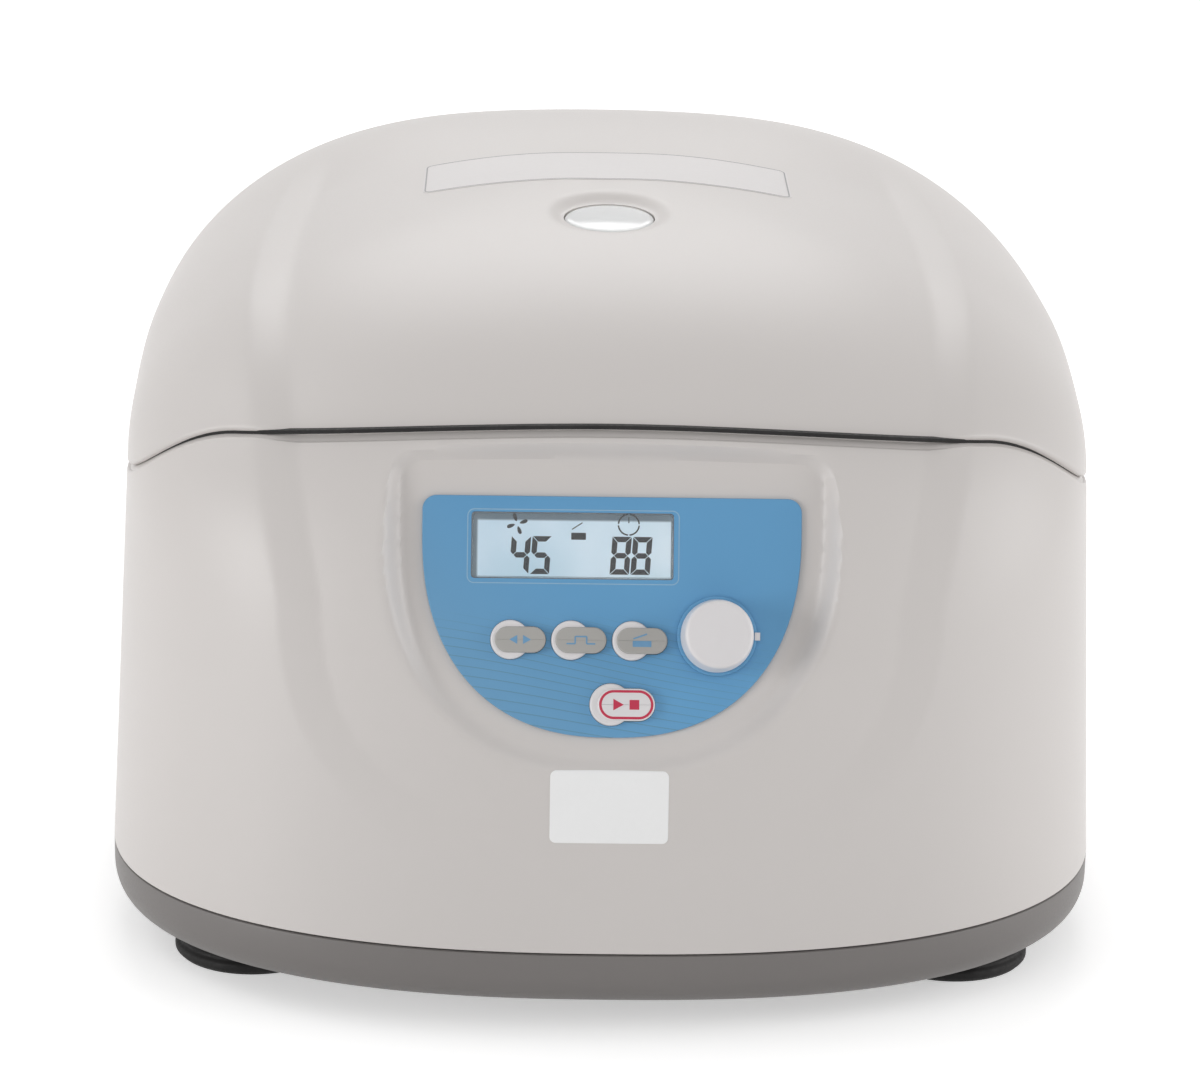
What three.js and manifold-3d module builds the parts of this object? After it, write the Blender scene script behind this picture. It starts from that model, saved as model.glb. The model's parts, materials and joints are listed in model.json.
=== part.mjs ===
// Benchtop low-speed centrifuge with a domed lid, a tilted control panel and an eight-place angle rotor.
// Millimetres, +Z up, +X to the right seen from the front, +Y to the back.
// The origin is on the bench under the middle.
import * as THREE from "three";
import { mergeGeometries, mergeVertices } from "three/addons/utils/BufferGeometryUtils.js";
import Module from "manifold-3d";

const wasm = await Module();
wasm.setup();

// Fits that every piece shares
const fitGap = 0.3;
const runGap = 0.6;
const overrun = 4;
const splitMargin = 0.4;

// Housing outline in plan: a broad oval front and a squarer back
const housingWidth = 295;
const frontReach = 182;
const rearReach = 178;
const widestFromFront = 110;
const frontOutlinePower = 2.41;
const rearOutlinePower = 4.27;

// Housing profile: leaning walls that roll over into the roof
const seamZ = 26;
const roofZ = 220;
const roofFall = 28.5;
const roofCrown = 3.7;
const roofLevelShare = 0.6;
const sideShoulderZ = 162;
const frontShoulderZ = 50;
const rearShoulderZ = 139;
const sideLeanShare = 0.045;
const frontLeanShare = 0.103;
const rearLeanShare = 0.038;
const sideCrownPower = 1.98;
const frontCrownPower = 4.05;
const rearCrownPower = 3;
const aspectBlendPower = 2.66;
const housingWall = 3.2;
const liningInset = 5.2;

// Band that runs from the roof down the front and turns in a U under the panel
const bandDepth = 3;
const bandStrip = 11;
const bandHalfWidth = 93;
const bandTurnZ = 120;
const bandFlareTopZ = 189;
const bandLowZ = 46.5;
const bandFullZ = 100;
const bandLowShare = 0.25;
const bandFlareShare = 0.195;
const bandPower = 2.4;
const bandNarrowing = 24.6;
const bandNarrowStartY = -70;
const bandFadeStartY = 20;
const bandFadeEndY = 85;

// Parting line between body and lid: an arch over the front that settles along the sides
const partingFrontZ = 167.7;
const partingRearZ = 138;
const partingArch = 14.5;
const partingCorner = 21.3;
const partingCornerX = 107;
const partingSettleStartY = -100;
const partingSettleEndY = -20;
const partingGap = 1.6;

// Mesh density of the moulded shells: columns around, rows on the wall, the shoulder and the roof
const skinColumns = 32;
const skinRows = [1, 5, 3];
const liningColumns = 16;
const liningRows = [1, 3, 2];
const shoulderStartShare = 0.3;
const shoulderEndShare = 0.62;
const bendWeight = 60;
const trayColumns = 24;
const partingSteps = 16;
const roundSides = 24;
const smallSides = 10;

// Base tray and feet
const trayGap = 0.6;
const trayFloorZ = 8.8;
const trayRound = 10;
const trayWall = 3;
const trayRibWidth = 2.4;
const trayRibHeight = 6;
const footRadius = 23.5;
const footRim = 2.5;
const footGroove = 1.2;
const footSpigotRadius = 6;
const footInset = 44.5;
const footSetback = 65;
const footX = housingWidth / 2 - footInset;
const footY = (frontReach + rearReach) / 2 - footSetback;
const bossRadius = 11;
const bossHeight = 3;

// Chamber well, bowl and grommet
const chamberY = 8;
const deckDrop = 2;
const deckWall = 3;
const bowlRadius = 112;
const bowlWall = 1.2;
const bowlFlange = 8;
const bowlFlangeRadius = bowlRadius + bowlFlange;
const wellMargin = 12;
const wellRadius = bowlRadius + wellMargin;
const wellFloorZ = 130;
const bowlFloorZ = 76;
const bowlCorner = 12;
const bowlHoleRadius = 17;
const grommetLip = 5;
const grommetLipHeight = 2.5;

// Motor, its plate and its rubber dampers
const dampersSpan = 88;
const damperRadius = 9;
const damperWaistRadius = 7;
const damperHeight = 17;
const plateSide = 112;
const plateCorner = 14;
const plateThickness = 2.5;
const motorRadius = 37;
const motorHeight = 36;
const motorBandDepth = 2;
const motorBossRadius = 13;
const motorBossTopZ = 80;
const motorShaftRadius = 6;
const shaftShoulderRadius = 9;
const shaftTailZ = 44;

// Angle rotor with hanging tube sleeves
const sleeveCount = 8;
const sleeveTiltDegrees = 40;
const rotorClearReach = 73.1;
const sleeveSeatRadius = bowlRadius - rotorClearReach;
const sleeveSeatZ = 158;
const sleeveLength = 92;
const sleeveBoreRadius = 8.5;
const sleeveWall = 1;
const sleeveRimRadius = 11;
const sleeveRimHeight = 2;
const rotorWall = 3;
const rotorDishWall = 4;
const rotorHubRadius = 17;
const rotorHubBottomZ = 92;
const rotorDishStartRadius = 24;
const rotorSkirt = 14;
const rotorFootReach = 5;
const nutRadius = 11;
const nutHeight = 15;
const nutFluteRadius = 1.6;
const nutFlutes = 8;
const nutCover = 4;
const shaftAboveHub = 8;

// Lid liner, gasket and view port
const linerWall = 2.5;
const linerDrop = 1.2;
const plugReach = 8.5;
const plugRadius = bowlRadius + plugReach;
const plugBottomZ = 133.5;
const domeFootInset = 13;
const domeFootRadius = bowlRadius - domeFootInset;
const domeInset = 16;
const domeRadius = bowlRadius - domeInset;
const domeShoulderZ = 172;
const domeTopZ = 197;
const gasketInset = 9;
const gasketInnerRadius = bowlRadius - gasketInset;
const gasketReach = 6;
const gasketOuterRadius = bowlRadius + gasketReach;
const portY = -42;
const portRadius = 13.75;
const portTiltDegrees = 6;
const portDishRadius = 21.5;
const portDishDepth = 2.2;
const portGlass = 3;
const portLedge = 2.4;
const portTubeRadius = 17;

// Control panel: a plane that leans back in a sunk field of the body's front
const panelTiltDegrees = 20;
const panelSetback = 26.1;
const panelY = panelSetback - frontReach;
const panelZ = 123.2;
const panelHalfWidth = 53;
const panelTopV = 27.2;
const panelCorner = 4;
const panelTurnV = 18;
const panelLowV = -40;
const panelPower = 2.35;
const panelThickness = 0.8;
const fieldDepth = 1.1;
const fieldMargin = 4.6;
const fieldHalfWidth = 64.5;
const fieldTopV = 40;
const fieldCorner = 8;
const fieldTurnV = 22;
const fieldLowV = -44;
const fieldPower = 2.7;
const fieldRise = 6.5;
const displayU = -11;
const displayV = 13.4;
const displayWidth = 56.5;
const displayHeight = 18.6;
const displayCorner = 1;
const displayLedge = 1.5;
const lensThickness = 1;
const moduleThickness = 7;
const moduleMargin = 2;
const boardWidth = 92;
const boardHeight = 58;
const boardV = -7;
const boardThickness = 1.6;
const boardSetback = 12.5;

// Push buttons: a round cap with a long pad that leans out to its right
const capRadius = 5.5;
const padLength = 14.2;
const padHeight = 7.3;
const padOffset = 2.8;
const capRise = 1.5;
const padRise = 2.1;
const capStem = 3;
const stemRadius = 2;
const capTravel = 1.2;
const rowV = -13;
const selectU = -28.1;
const pulseU = -11.2;
const doorU = 5.8;
const startU = 0.1;
const startV = -30.8;
const startRadius = 5.9;
const startPadLength = 16;
const startPadHeight = 9;
const startPadOffset = 4.3;

// Rotary knob with its collar and encoder
const knobU = 29.5;
const knobV = -11.4;
const knobBaseRadius = 10.2;
const knobFaceRadius = 9.4;
const knobHeight = 13;
const knobCrown = 1.4;
const knobEdge = 1.2;
const collarRadius = 11.1;
const collarHeight = 1;
const collarTab = 1.2;
const encoderShaftRadius = 3;
const encoderShaftLength = 16;
const encoderBushRadius = 4.5;
const encoderBodySide = 13;
const encoderBodyHeight = 6;

// Lid lock: a hook on the lid, a sliding bolt and its solenoid
const lockSetback = 54;
const lockY = lockSetback - frontReach;
const hookThickness = 3;
const hookWidth = 12;
const hookReach = 26;
const hookWindowWidth = 7.5;
const hookWindowHeight = 8;
const hookFoot = 4;
const hookPlateLength = 26;
const boltRadius = 2.6;
const boltLength = 18;
const boltTravel = 6.2;
const lockPlateThickness = 1.5;
const lockPlateLength = 78;
const lockPlateWidth = 14;
const lockEarHeight = 21;
const solenoidLength = 30;
const solenoidSide = 13.5;
const senseLength = 20;
const senseHeight = 10;
const senseWidth = 6;

// Rear hinges
const hingeX = 62;
const hingeSetback = 0.6;
const hingeY = rearReach - hingeSetback;
const hingeBarrelRadius = 5;
const hingePinRadius = 1.8;
const hingeWidth = 34;
const hingeMiddleShare = 0.36;
const hingeLeaf = 2.2;
const hingeLeafHeight = 22;
const hingeArmHeight = 6;
const hingeSeatSetback = 10.5;
const hingeSeatY = rearReach - hingeSeatSetback;
const hingeSeatMargin = 1;
const hingeSeatWall = 3.5;

// Rear services: mains inlet, switch and cooling slots
const serviceX = -42;
const serviceZ = 58;
const serviceWidth = 84;
const serviceHeight = 42;
const serviceDepth = 8;
const serviceFloorY = rearReach - serviceDepth;
const inletX = -58;
const inletWidth = 28;
const inletHeight = 22;
const inletDepth = 20;
const inletWall = 2;
const inletFlange = 2;
const inletFlangeMargin = 4;
const inletPinWidth = 2;
const inletPinHeight = 4;
const inletPinLength = 12;
const inletPinSpread = 7;
const inletEarthOffset = 4;
const switchX = -17;
const switchWidth = 15;
const switchHeight = 26;
const switchDepth = 16;
const rockerGap = 0.5;
const rockerRise = 2.4;
const rockerAngleDegrees = 9;
const slotCount = 6;
const slotX = 56;
const slotPitch = 9;
const slotWidth = 3;
const slotHeight = 34;

// Electronics on the tray
const driveInset = 50.5;
const driveX = driveInset - housingWidth / 2;
const driveY = 20;
const driveWidth = 56;
const driveLength = 120;
const driveZ = 20;
const sinkHeight = 22;
const sinkFins = 5;
const sinkFin = 2;
const sinkLength = 70;
const capacitorRadius = 11;
const capacitorHeight = 26;
const supplyInset = 49.5;
const supplyX = housingWidth / 2 - supplyInset;
const supplyY = 20;
const supplyCore = 46;
const supplyLength = 56;
const supplyHeight = 44;
const bobbinMargin = 6;
const bobbinHeight = 26;

// Colours and surface finish
const finish = (color, roughness, metalness = 0) =>
  new THREE.MeshStandardMaterial({ color, roughness, metalness });
const shellWhite = finish(0xe6e2e2, 0.45);
const trayGrey = finish(0x6f6b69, 0.5);
const panelBlue = finish(0x5d93b8, 0.35);
const padGrey = finish(0xacaaa6, 0.4);
const buttonWhite = finish(0xe8e6e8, 0.35);
const rubberBlack = finish(0x191919, 0.85);
const steel = finish(0xb9bcc0, 0.3, 0.9);
const zincSteel = finish(0xa7a9ab, 0.4, 0.8);
const rotorGrey = finish(0x3c4046, 0.4);
const sleeveWhite = finish(0xd9dcdd, 0.5);
const clearGlass = finish(0xcfe0e6, 0.08);
const displayGlass = finish(0xb4c2cc, 0.15);
const boardGreen = finish(0x1f5a3a, 0.5);
const copper = finish(0xa86b3a, 0.4, 0.6);
const plasticBlack = finish(0x202124, 0.5);

const radians = THREE.MathUtils.degToRad;
const clamp = THREE.MathUtils.clamp;
const lerp = THREE.MathUtils.lerp;
const halfWidth = housingWidth / 2;
const outerDishTilt = radians(sleeveTiltDegrees);
const X = new THREE.Vector3(1, 0, 0);

function smooth(value, from, to) {
  const share = clamp((value - from) / (to - from), 0, 1);
  return share * share * (3 - 2 * share);
}

// Closed solids from three.js geometry, and the booleans between them
function solid(geometry) {
  const bare = geometry.clone();
  bare.deleteAttribute("normal");
  bare.deleteAttribute("uv");
  const merged = mergeVertices(bare);
  const triVerts = new Uint32Array(merged.index.array);
  const vertProperties = new Float32Array(merged.attributes.position.array);
  const made = new wasm.Manifold(new wasm.Mesh({ numProp: 3, vertProperties, triVerts }));
  if (made.volume() > 0) return made;
  for (let i = 0; i < triVerts.length; i += 3) {
    [triVerts[i + 1], triVerts[i + 2]] = [triVerts[i + 2], triVerts[i + 1]];
  }
  return new wasm.Manifold(new wasm.Mesh({ numProp: 3, vertProperties, triVerts }));
}

const join = (first, ...rest) => rest.reduce((sum, next) => sum.add(next), first);
const cut = (first, ...rest) => rest.reduce((left, next) => left.subtract(next), first);
const common = (first, ...rest) => rest.reduce((left, next) => left.intersect(next), first);

function meshOf(name, shape, material) {
  const made = shape.getMesh();
  const geometry = new THREE.BufferGeometry();
  const places = new Float32Array(made.numVert * 3);
  for (let i = 0; i < made.numVert; i += 1) {
    places.set(made.vertProperties.subarray(i * made.numProp, i * made.numProp + 3), i * 3);
  }
  geometry.setAttribute("position", new THREE.BufferAttribute(places, 3));
  geometry.setIndex(new THREE.BufferAttribute(new Uint32Array(made.triVerts), 1));
  geometry.computeVertexNormals();
  const mesh = new THREE.Mesh(geometry, material);
  mesh.name = name;
  return mesh;
}

function block(x0, x1, y0, y1, z0, z1) {
  const geometry = new THREE.BoxGeometry(x1 - x0, y1 - y0, z1 - z0);
  return solid(geometry.translate((x0 + x1) / 2, (y0 + y1) / 2, (z0 + z1) / 2));
}

// A solid of revolution about Z from [radius, z] pairs that start and end on the axis or close on themselves
function turned(profile, sides = roundSides) {
  const points = profile.map(([radius, z]) => new THREE.Vector2(radius, z));
  return solid(new THREE.LatheGeometry(points, sides).rotateX(Math.PI / 2));
}

function rod(radius, z0, z1, sides = smallSides) {
  return turned([[0, z0], [radius, z0], [radius, z1], [0, z1]], sides);
}

function ring(inner, outer, z0, z1, sides = roundSides) {
  return turned([[inner, z0], [outer, z0], [outer, z1], [inner, z1], [inner, z0]], sides);
}

function arcPoints(centreRadius, centreZ, radius, from, to, steps) {
  return Array.from({ length: steps + 1 }, (_, i) => {
    const angle = lerp(from, to, i / steps);
    return [centreRadius + radius * Math.cos(angle), centreZ + radius * Math.sin(angle)];
  });
}

function extruded(outline, z0, z1) {
  const shape = outline instanceof THREE.Shape ? outline : new THREE.Shape(outline);
  const options = { depth: z1 - z0, bevelEnabled: false, curveSegments: 3 };
  return solid(new THREE.ExtrudeGeometry(shape, options).translate(0, 0, z0));
}

function roundedOutline(width, height, corner, u = 0, v = 0) {
  const shape = new THREE.Shape();
  const right = u + width / 2;
  const top = v + height / 2;
  const left = u - width / 2;
  const low = v - height / 2;
  shape.absarc(right - corner, low + corner, corner, -Math.PI / 2, 0);
  shape.absarc(right - corner, top - corner, corner, 0, Math.PI / 2);
  shape.absarc(left + corner, top - corner, corner, Math.PI / 2, Math.PI);
  shape.absarc(left + corner, low + corner, corner, Math.PI, (3 * Math.PI) / 2);
  return shape;
}

const moved = (shape, x, y, z) => shape.translate([x, y, z]);

function placed(shape, matrix) {
  return shape.transform(matrix.elements.slice());
}

// Plan outline of the housing: angle 0 points right, a quarter turn points back
function outlineAt(angle) {
  const across = Math.cos(angle);
  const along = Math.sin(angle);
  const widestY = widestFromFront - frontReach;
  const reach = along < 0 ? frontReach + widestY : rearReach - widestY;
  const power = along < 0 ? frontOutlinePower : rearOutlinePower;
  const x = halfWidth * Math.sign(across) * Math.abs(across) ** (2 / power);
  const y = widestY + reach * Math.sign(along) * Math.abs(along) ** (2 / power);
  return [x, y];
}

// Angles that spread points along the outline, closer together where it bends
function outlineAngles(count) {
  const fine = count * 24;
  const at = (i) => new THREE.Vector2(...outlineAt((2 * Math.PI * i) / fine));
  const lengths = [0];
  for (let i = 1; i <= fine; i += 1) {
    const step = at(i).sub(at(i - 1));
    const turn = Math.abs(step.angleTo(at(i + 1).sub(at(i))));
    lengths.push(lengths[i - 1] + step.length() + bendWeight * turn);
  }
  let below = 0;
  return Array.from({ length: count }, (_, i) => {
    const wanted = (lengths[fine] * i) / count;
    while (lengths[below + 1] < wanted) below += 1;
    const share = (wanted - lengths[below]) / (lengths[below + 1] - lengths[below]);
    return (2 * Math.PI * (below + share)) / fine;
  });
}

function roofAt(x, y) {
  const forward = Math.max(roofLevelShare - y / frontReach, 0) / (1 + roofLevelShare);
  return roofZ - roofFall * forward ** 2 - roofCrown * (x / halfWidth) ** 2;
}

// A column of the plain housing at one outline angle, from the seam to the roof's middle
function columnAt(angle) {
  const [x, y] = outlineAt(angle);
  const radius = Math.hypot(x, y);
  const towardsEnd = Math.abs(y / radius) ** aspectBlendPower;
  const pick = (side, front, rear) => lerp(side, y < 0 ? front : rear, towardsEnd);
  const shoulder = pick(sideShoulderZ, frontShoulderZ, rearShoulderZ);
  const power = pick(sideCrownPower, frontCrownPower, rearCrownPower);
  const lean = pick(sideLeanShare, frontLeanShare, rearLeanShare) / radius;
  const point = (turn, wallShare) => {
    if (turn <= 0) {
      const z = lerp(seamZ, shoulder, wallShare);
      const inward = 1 - lean * (z - seamZ);
      return [x * inward, y * inward, z];
    }
    const spread = Math.cos(turn) ** (2 / power);
    const z = shoulder + (roofAt(x * spread, y * spread) - shoulder) * Math.sin(turn) ** (2 / power);
    const inward = spread * (1 - lean * (z - seamZ));
    return [x * inward, y * inward, z];
  };
  const fine = 64;
  const path = [];
  for (let i = 0; i < fine / 4; i += 1) path.push(point(0, (4 * i) / fine));
  for (let i = 0; i <= fine; i += 1) path.push(point((Math.PI / 2) * (i / fine), 1));
  return path;
}

function alongPath(path, shares) {
  const lengths = [0];
  for (let i = 1; i < path.length; i += 1) {
    const step = Math.hypot(...path[i].map((value, axis) => value - path[i - 1][axis]));
    lengths.push(lengths[i - 1] + step);
  }
  const whole = lengths[lengths.length - 1];
  let at = 0;
  return shares.map((share) => {
    while (at < path.length - 2 && lengths[at + 1] < share * whole) at += 1;
    const part = (share * whole - lengths[at]) / (lengths[at + 1] - lengths[at]);
    return path[at].map((value, axis) => lerp(value, path[at + 1][axis], part));
  });
}

// Distances in from the band's outer edge and out from its inner edge, positive within the strip between them
function bandEdges({ x, y, z }) {
  const narrowed = Math.max(0, y - bandNarrowStartY) / (rearReach - bandNarrowStartY);
  const flare = bandFlareShare * clamp(z - bandTurnZ, 0, bandFlareTopZ - bandTurnZ);
  const half = bandHalfWidth + flare - bandNarrowing * narrowed ** 2;
  const reach = (width, depth) => {
    const below = Math.max(0, bandTurnZ - z) / depth;
    return ((Math.abs(x) / width) ** bandPower + below ** bandPower) ** (1 / bandPower);
  };
  const depth = bandTurnZ - bandLowZ;
  const fromOuter = Math.min(half * (1 - reach(half, depth)), bandFadeEndY - y);
  const fromInner = (half - bandStrip) * (reach(half - bandStrip, depth - bandStrip) - 1);
  return [fromOuter, fromInner];
}

// How deep the band sinks a point of the housing
function bandSink(at) {
  const [fromOuter, fromInner] = bandEdges(at);
  if (fromOuter <= 0) return 0;
  const across = fromInner <= 0 ? 1 : fromOuter / (fromOuter + fromInner);
  const low = lerp(bandLowShare, 1, smooth(at.z, bandLowZ, bandFullZ));
  return bandDepth * across * low * (1 - smooth(at.y, bandFadeStartY, bandFadeEndY));
}

// Splits a mesh's triangles where a field changes sign, so that edges run along its zero line
function splitAlong(mesh, field) {
  const values = mesh.places.map((at) => {
    const value = field(at);
    return Math.abs(value) < splitMargin ? 0 : value;
  });
  const made = new Map();
  const crossing = (from, to) => {
    const key = Math.min(from, to) + ":" + Math.max(from, to);
    if (made.has(key)) return made.get(key);
    const [a, b] = [mesh.places[from], mesh.places[to]];
    let [low, high] = [0, 1];
    while (high - low > splitMargin / 100) {
      const middle = (low + high) / 2;
      const sameSide = field(a.clone().lerp(b, middle)) * values[from] > 0;
      [low, high] = sameSide ? [middle, high] : [low, middle];
    }
    mesh.places.push(a.clone().lerp(b, low));
    mesh.normals.push(mesh.normals[from].clone().lerp(mesh.normals[to], low).normalize());
    values.push(0);
    made.set(key, values.length - 1);
    return values.length - 1;
  };
  mesh.faces = mesh.faces.flatMap((face) => {
    if (!face.some((from, i) => values[from] * values[face[(i + 1) % 3]] < 0)) return [face];
    return [1, -1].flatMap((side) => {
      const corners = face.flatMap((from, i) => {
        const to = face[(i + 1) % 3];
        const kept = values[from] * side >= 0 ? [from] : [];
        return values[from] * values[to] < 0 ? [...kept, crossing(from, to)] : kept;
      });
      return corners.slice(2).map((corner, i) => [corners[0], corners[i + 1], corner]);
    });
  });
}

const evenly = (from, to, count) => Array.from({ length: count }, (_, i) => lerp(from, to, i / count));

// A closed skin of the housing, pulled in by an inset, with or without the sunk band
function housingSkin(columns, rowCounts, inset, withBand) {
  const shares = [
    ...evenly(0, shoulderStartShare, rowCounts[0]),
    ...evenly(shoulderStartShare, shoulderEndShare, rowCounts[1]),
    ...evenly(shoulderEndShare, 1, rowCounts[2]),
  ];
  const rows = shares.length;
  const grid = outlineAngles(columns).map((angle) => {
    return alongPath(columnAt(angle), shares).map((at) => new THREE.Vector3(...at));
  });
  const mesh = { places: [], normals: [], faces: [] };
  for (let row = 0; row < rows; row += 1) {
    for (let column = 0; column < columns; column += 1) {
      const side = (step) => grid[(column + step + columns) % columns][row];
      const rise = grid[column][Math.min(row + 1, rows - 1)].clone().sub(grid[column][Math.max(row - 1, 0)]);
      const normal = side(1).clone().sub(side(-1)).cross(rise).normalize();
      mesh.places.push(grid[column][row]);
      mesh.normals.push(row ? normal : normal.setZ(0).normalize());
    }
  }
  const top = mesh.places.length;
  mesh.places.push(new THREE.Vector3(0, 0, roofAt(0, 0)), new THREE.Vector3(0, 0, seamZ));
  mesh.normals.push(new THREE.Vector3(0, 0, 1), new THREE.Vector3(0, 0, -1));
  for (let column = 0; column < columns; column += 1) {
    const next = (column + 1) % columns;
    for (let low = 0; low < top - columns; low += columns) {
      const high = low + columns;
      mesh.faces.push([low + column, low + next, high + next], [low + column, high + next, high + column]);
    }
    mesh.faces.push([top - columns + column, top - columns + next, top], [next, column, top + 1]);
  }
  if (withBand) [0, 1].forEach((edge) => splitAlong(mesh, (at) => bandEdges(at)[edge]));
  const places = mesh.places.flatMap((at, i) => {
    const sunk = at.clone().addScaledVector(mesh.normals[i], -inset - (withBand ? bandSink(at) : 0));
    return inset > 0 && at.z === seamZ ? [sunk.x, sunk.y, seamZ - overrun] : sunk.toArray();
  });
  const geometry = new THREE.BufferGeometry();
  geometry.setAttribute("position", new THREE.Float32BufferAttribute(places, 3));
  geometry.setIndex(mesh.faces.flat());
  return solid(geometry);
}

// Height of the parting surface, which only shows where the shells meet
function partingAt(x, y) {
  const corner = Math.max(0, Math.abs(x) - partingCornerX) / (halfWidth - partingCornerX);
  const front = partingFrontZ - partingArch * (x / halfWidth) ** 2 - partingCorner * corner ** 2;
  return lerp(front, partingRearZ, smooth(y, partingSettleStartY, partingSettleEndY));
}

// Everything above the parting surface, lifted by a height; it only bends across and where it settles
function aboveParting(lift, steps = partingSteps) {
  const spread = [...evenly(-Math.PI / 2, Math.PI / 2, steps), Math.PI / 2];
  const across = spread.map((turn) => (halfWidth + overrun) * Math.sin(turn));
  const settling = evenly(partingSettleStartY, partingSettleEndY, steps / 4);
  const along = [-frontReach - overrun, ...settling, partingSettleEndY, rearReach + overrun];
  const places = [];
  for (const level of [0, 1]) {
    for (const y of along) {
      for (const x of across) places.push(x, y, level ? roofZ + overrun : partingAt(x, y) + lift);
    }
  }
  const [endX, endY] = [across.length - 1, along.length - 1];
  const index = (i, j, level) => (level * along.length + j) * across.length + i;
  const faces = [];
  const quad = (a, b, c, d) => faces.push(a, b, c, a, c, d);
  for (let j = 0; j < endY; j += 1) {
    for (let i = 0; i < endX; i += 1) {
      quad(index(i, j, 0), index(i, j + 1, 0), index(i + 1, j + 1, 0), index(i + 1, j, 0));
      quad(index(i, j, 1), index(i + 1, j, 1), index(i + 1, j + 1, 1), index(i, j + 1, 1));
    }
    quad(index(0, j, 0), index(0, j, 1), index(0, j + 1, 1), index(0, j + 1, 0));
    quad(index(endX, j, 0), index(endX, j + 1, 0), index(endX, j + 1, 1), index(endX, j, 1));
  }
  for (let i = 0; i < endX; i += 1) {
    quad(index(i, 0, 0), index(i + 1, 0, 0), index(i + 1, 0, 1), index(i, 0, 1));
    quad(index(i, endY, 0), index(i, endY, 1), index(i + 1, endY, 1), index(i + 1, endY, 0));
  }
  const geometry = new THREE.BufferGeometry();
  geometry.setAttribute("position", new THREE.Float32BufferAttribute(places, 3));
  geometry.setIndex(faces);
  return solid(geometry);
}

// Control panel frame: u to the right, v up the slope, w out of the panel
const panelFrame = new THREE.Matrix4()
  .makeTranslation(0, panelY, panelZ)
  .multiply(new THREE.Matrix4().makeRotationX(Math.PI / 2 - radians(panelTiltDegrees)));
const onPanel = (shape) => placed(shape, panelFrame);

// Outline with a level top, round top corners and a lower side that turns in one even bow
function shieldPoints(half, top, corner, turn, low, power, steps = 8) {
  const points = [];
  for (let i = 0; i <= steps; i += 1) {
    const angle = (-Math.PI * i) / steps;
    const across = Math.cos(angle);
    const x = half * Math.sign(across) * Math.abs(across) ** (2 / power);
    points.push([x, turn - (turn - low) * Math.abs(Math.sin(angle)) ** (2 / power)]);
  }
  for (const [side, from] of [[-1, Math.PI], [1, Math.PI / 2]]) {
    for (let i = 0; i <= 3; i += 1) {
      const angle = from - (Math.PI / 2) * (i / 3);
      const x = side * (half - corner) + corner * Math.cos(angle);
      points.push([x, top - corner + corner * Math.sin(angle)]);
    }
  }
  return points;
}

const panelPoints = shieldPoints(panelHalfWidth, panelTopV, panelCorner, panelTurnV, panelLowV, panelPower);
const fieldPoints = shieldPoints(
  fieldHalfWidth, fieldTopV, fieldCorner, fieldTurnV, fieldLowV, fieldPower,
);

const towards = (points, margin) => {
  return points.map(([u, v]) => {
    const reach = Math.hypot(u, v);
    return [u * (1 + margin / reach), v * (1 + margin / reach)];
  });
};

// A solid between two outlines with equal counts of points, at two heights
function loft(lowPoints, z0, highPoints, z1) {
  const count = lowPoints.length;
  const places = [...lowPoints.map(([u, v]) => [u, v, z0]), ...highPoints.map(([u, v]) => [u, v, z1])].flat();
  const middle = (points) => points.reduce((sum, [u, v]) => [sum[0] + u / count, sum[1] + v / count], [0, 0]);
  places.push(...middle(lowPoints), z0, ...middle(highPoints), z1);
  const faces = [];
  for (let i = 0; i < count; i += 1) {
    const next = (i + 1) % count;
    faces.push(i, next, count + next, i, count + next, count + i);
    faces.push(next, i, 2 * count, count + i, count + next, 2 * count + 1);
  }
  const geometry = new THREE.BufferGeometry();
  geometry.setAttribute("position", new THREE.Float32BufferAttribute(places, 3));
  geometry.setIndex(faces);
  return solid(geometry);
}

// The sunk field: from the floor behind the panel out to the soft edge, growing on past the housing wall
function fieldCutter(margin, depth) {
  const floor = towards(panelPoints, fieldMargin + margin);
  const edge = towards(fieldPoints, margin);
  const reach = 3;
  const far = floor.map(([u, v], i) => [lerp(u, edge[i][0], reach), lerp(v, edge[i][1], reach)]);
  return onPanel(loft(floor, -depth, far, -depth + reach * (fieldRise + fieldDepth)));
}

const buttons = [
  ["button_select", selectU, rowV, capRadius, padLength, padHeight, padOffset],
  ["button_pulse", pulseU, rowV, capRadius, padLength, padHeight, padOffset],
  ["button_door", doorU, rowV, capRadius, padLength, padHeight, padOffset],
  ["button_start_stop", startU, startV, startRadius, startPadLength, startPadHeight, startPadOffset],
];

function capOutline([, u, v, radius, length, height, offset], grow, z0, z1, padZ1 = z1) {
  const round = moved(rod(radius + grow, z0, z1), u, v, 0);
  const pad = roundedOutline(length + 2 * grow, height + 2 * grow, height / 2 + grow, u + offset, v);
  return join(round, extruded(pad, z0, padZ1));
}

// Places on the rear wall
const hingeSides = [["left", -hingeX], ["right", hingeX]];
const hingeZ = partingRearZ + partingGap / 2;
const seatHalf = hingeWidth / 2 + hingeSeatMargin;
const seatLowZ = hingeZ - hingeBarrelRadius - hingeLeafHeight;
const seatHighZ = hingeZ + hingeBarrelRadius + hingeLeafHeight;

function hingeSeats(inner, spare = 0) {
  return hingeSides.map(([, x]) => {
    const grow = inner ? 0 : hingeSeatWall + spare;
    const y0 = inner ? hingeSeatY : hingeSeatY - hingeSeatWall - spare;
    const y1 = inner ? hingeY + overrun : hingeSeatY;
    const z0 = seatLowZ - hingeSeatMargin - grow;
    return block(x - seatHalf - grow, x + seatHalf + grow, y0, y1, z0, seatHighZ + hingeSeatMargin + grow);
  });
}

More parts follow.
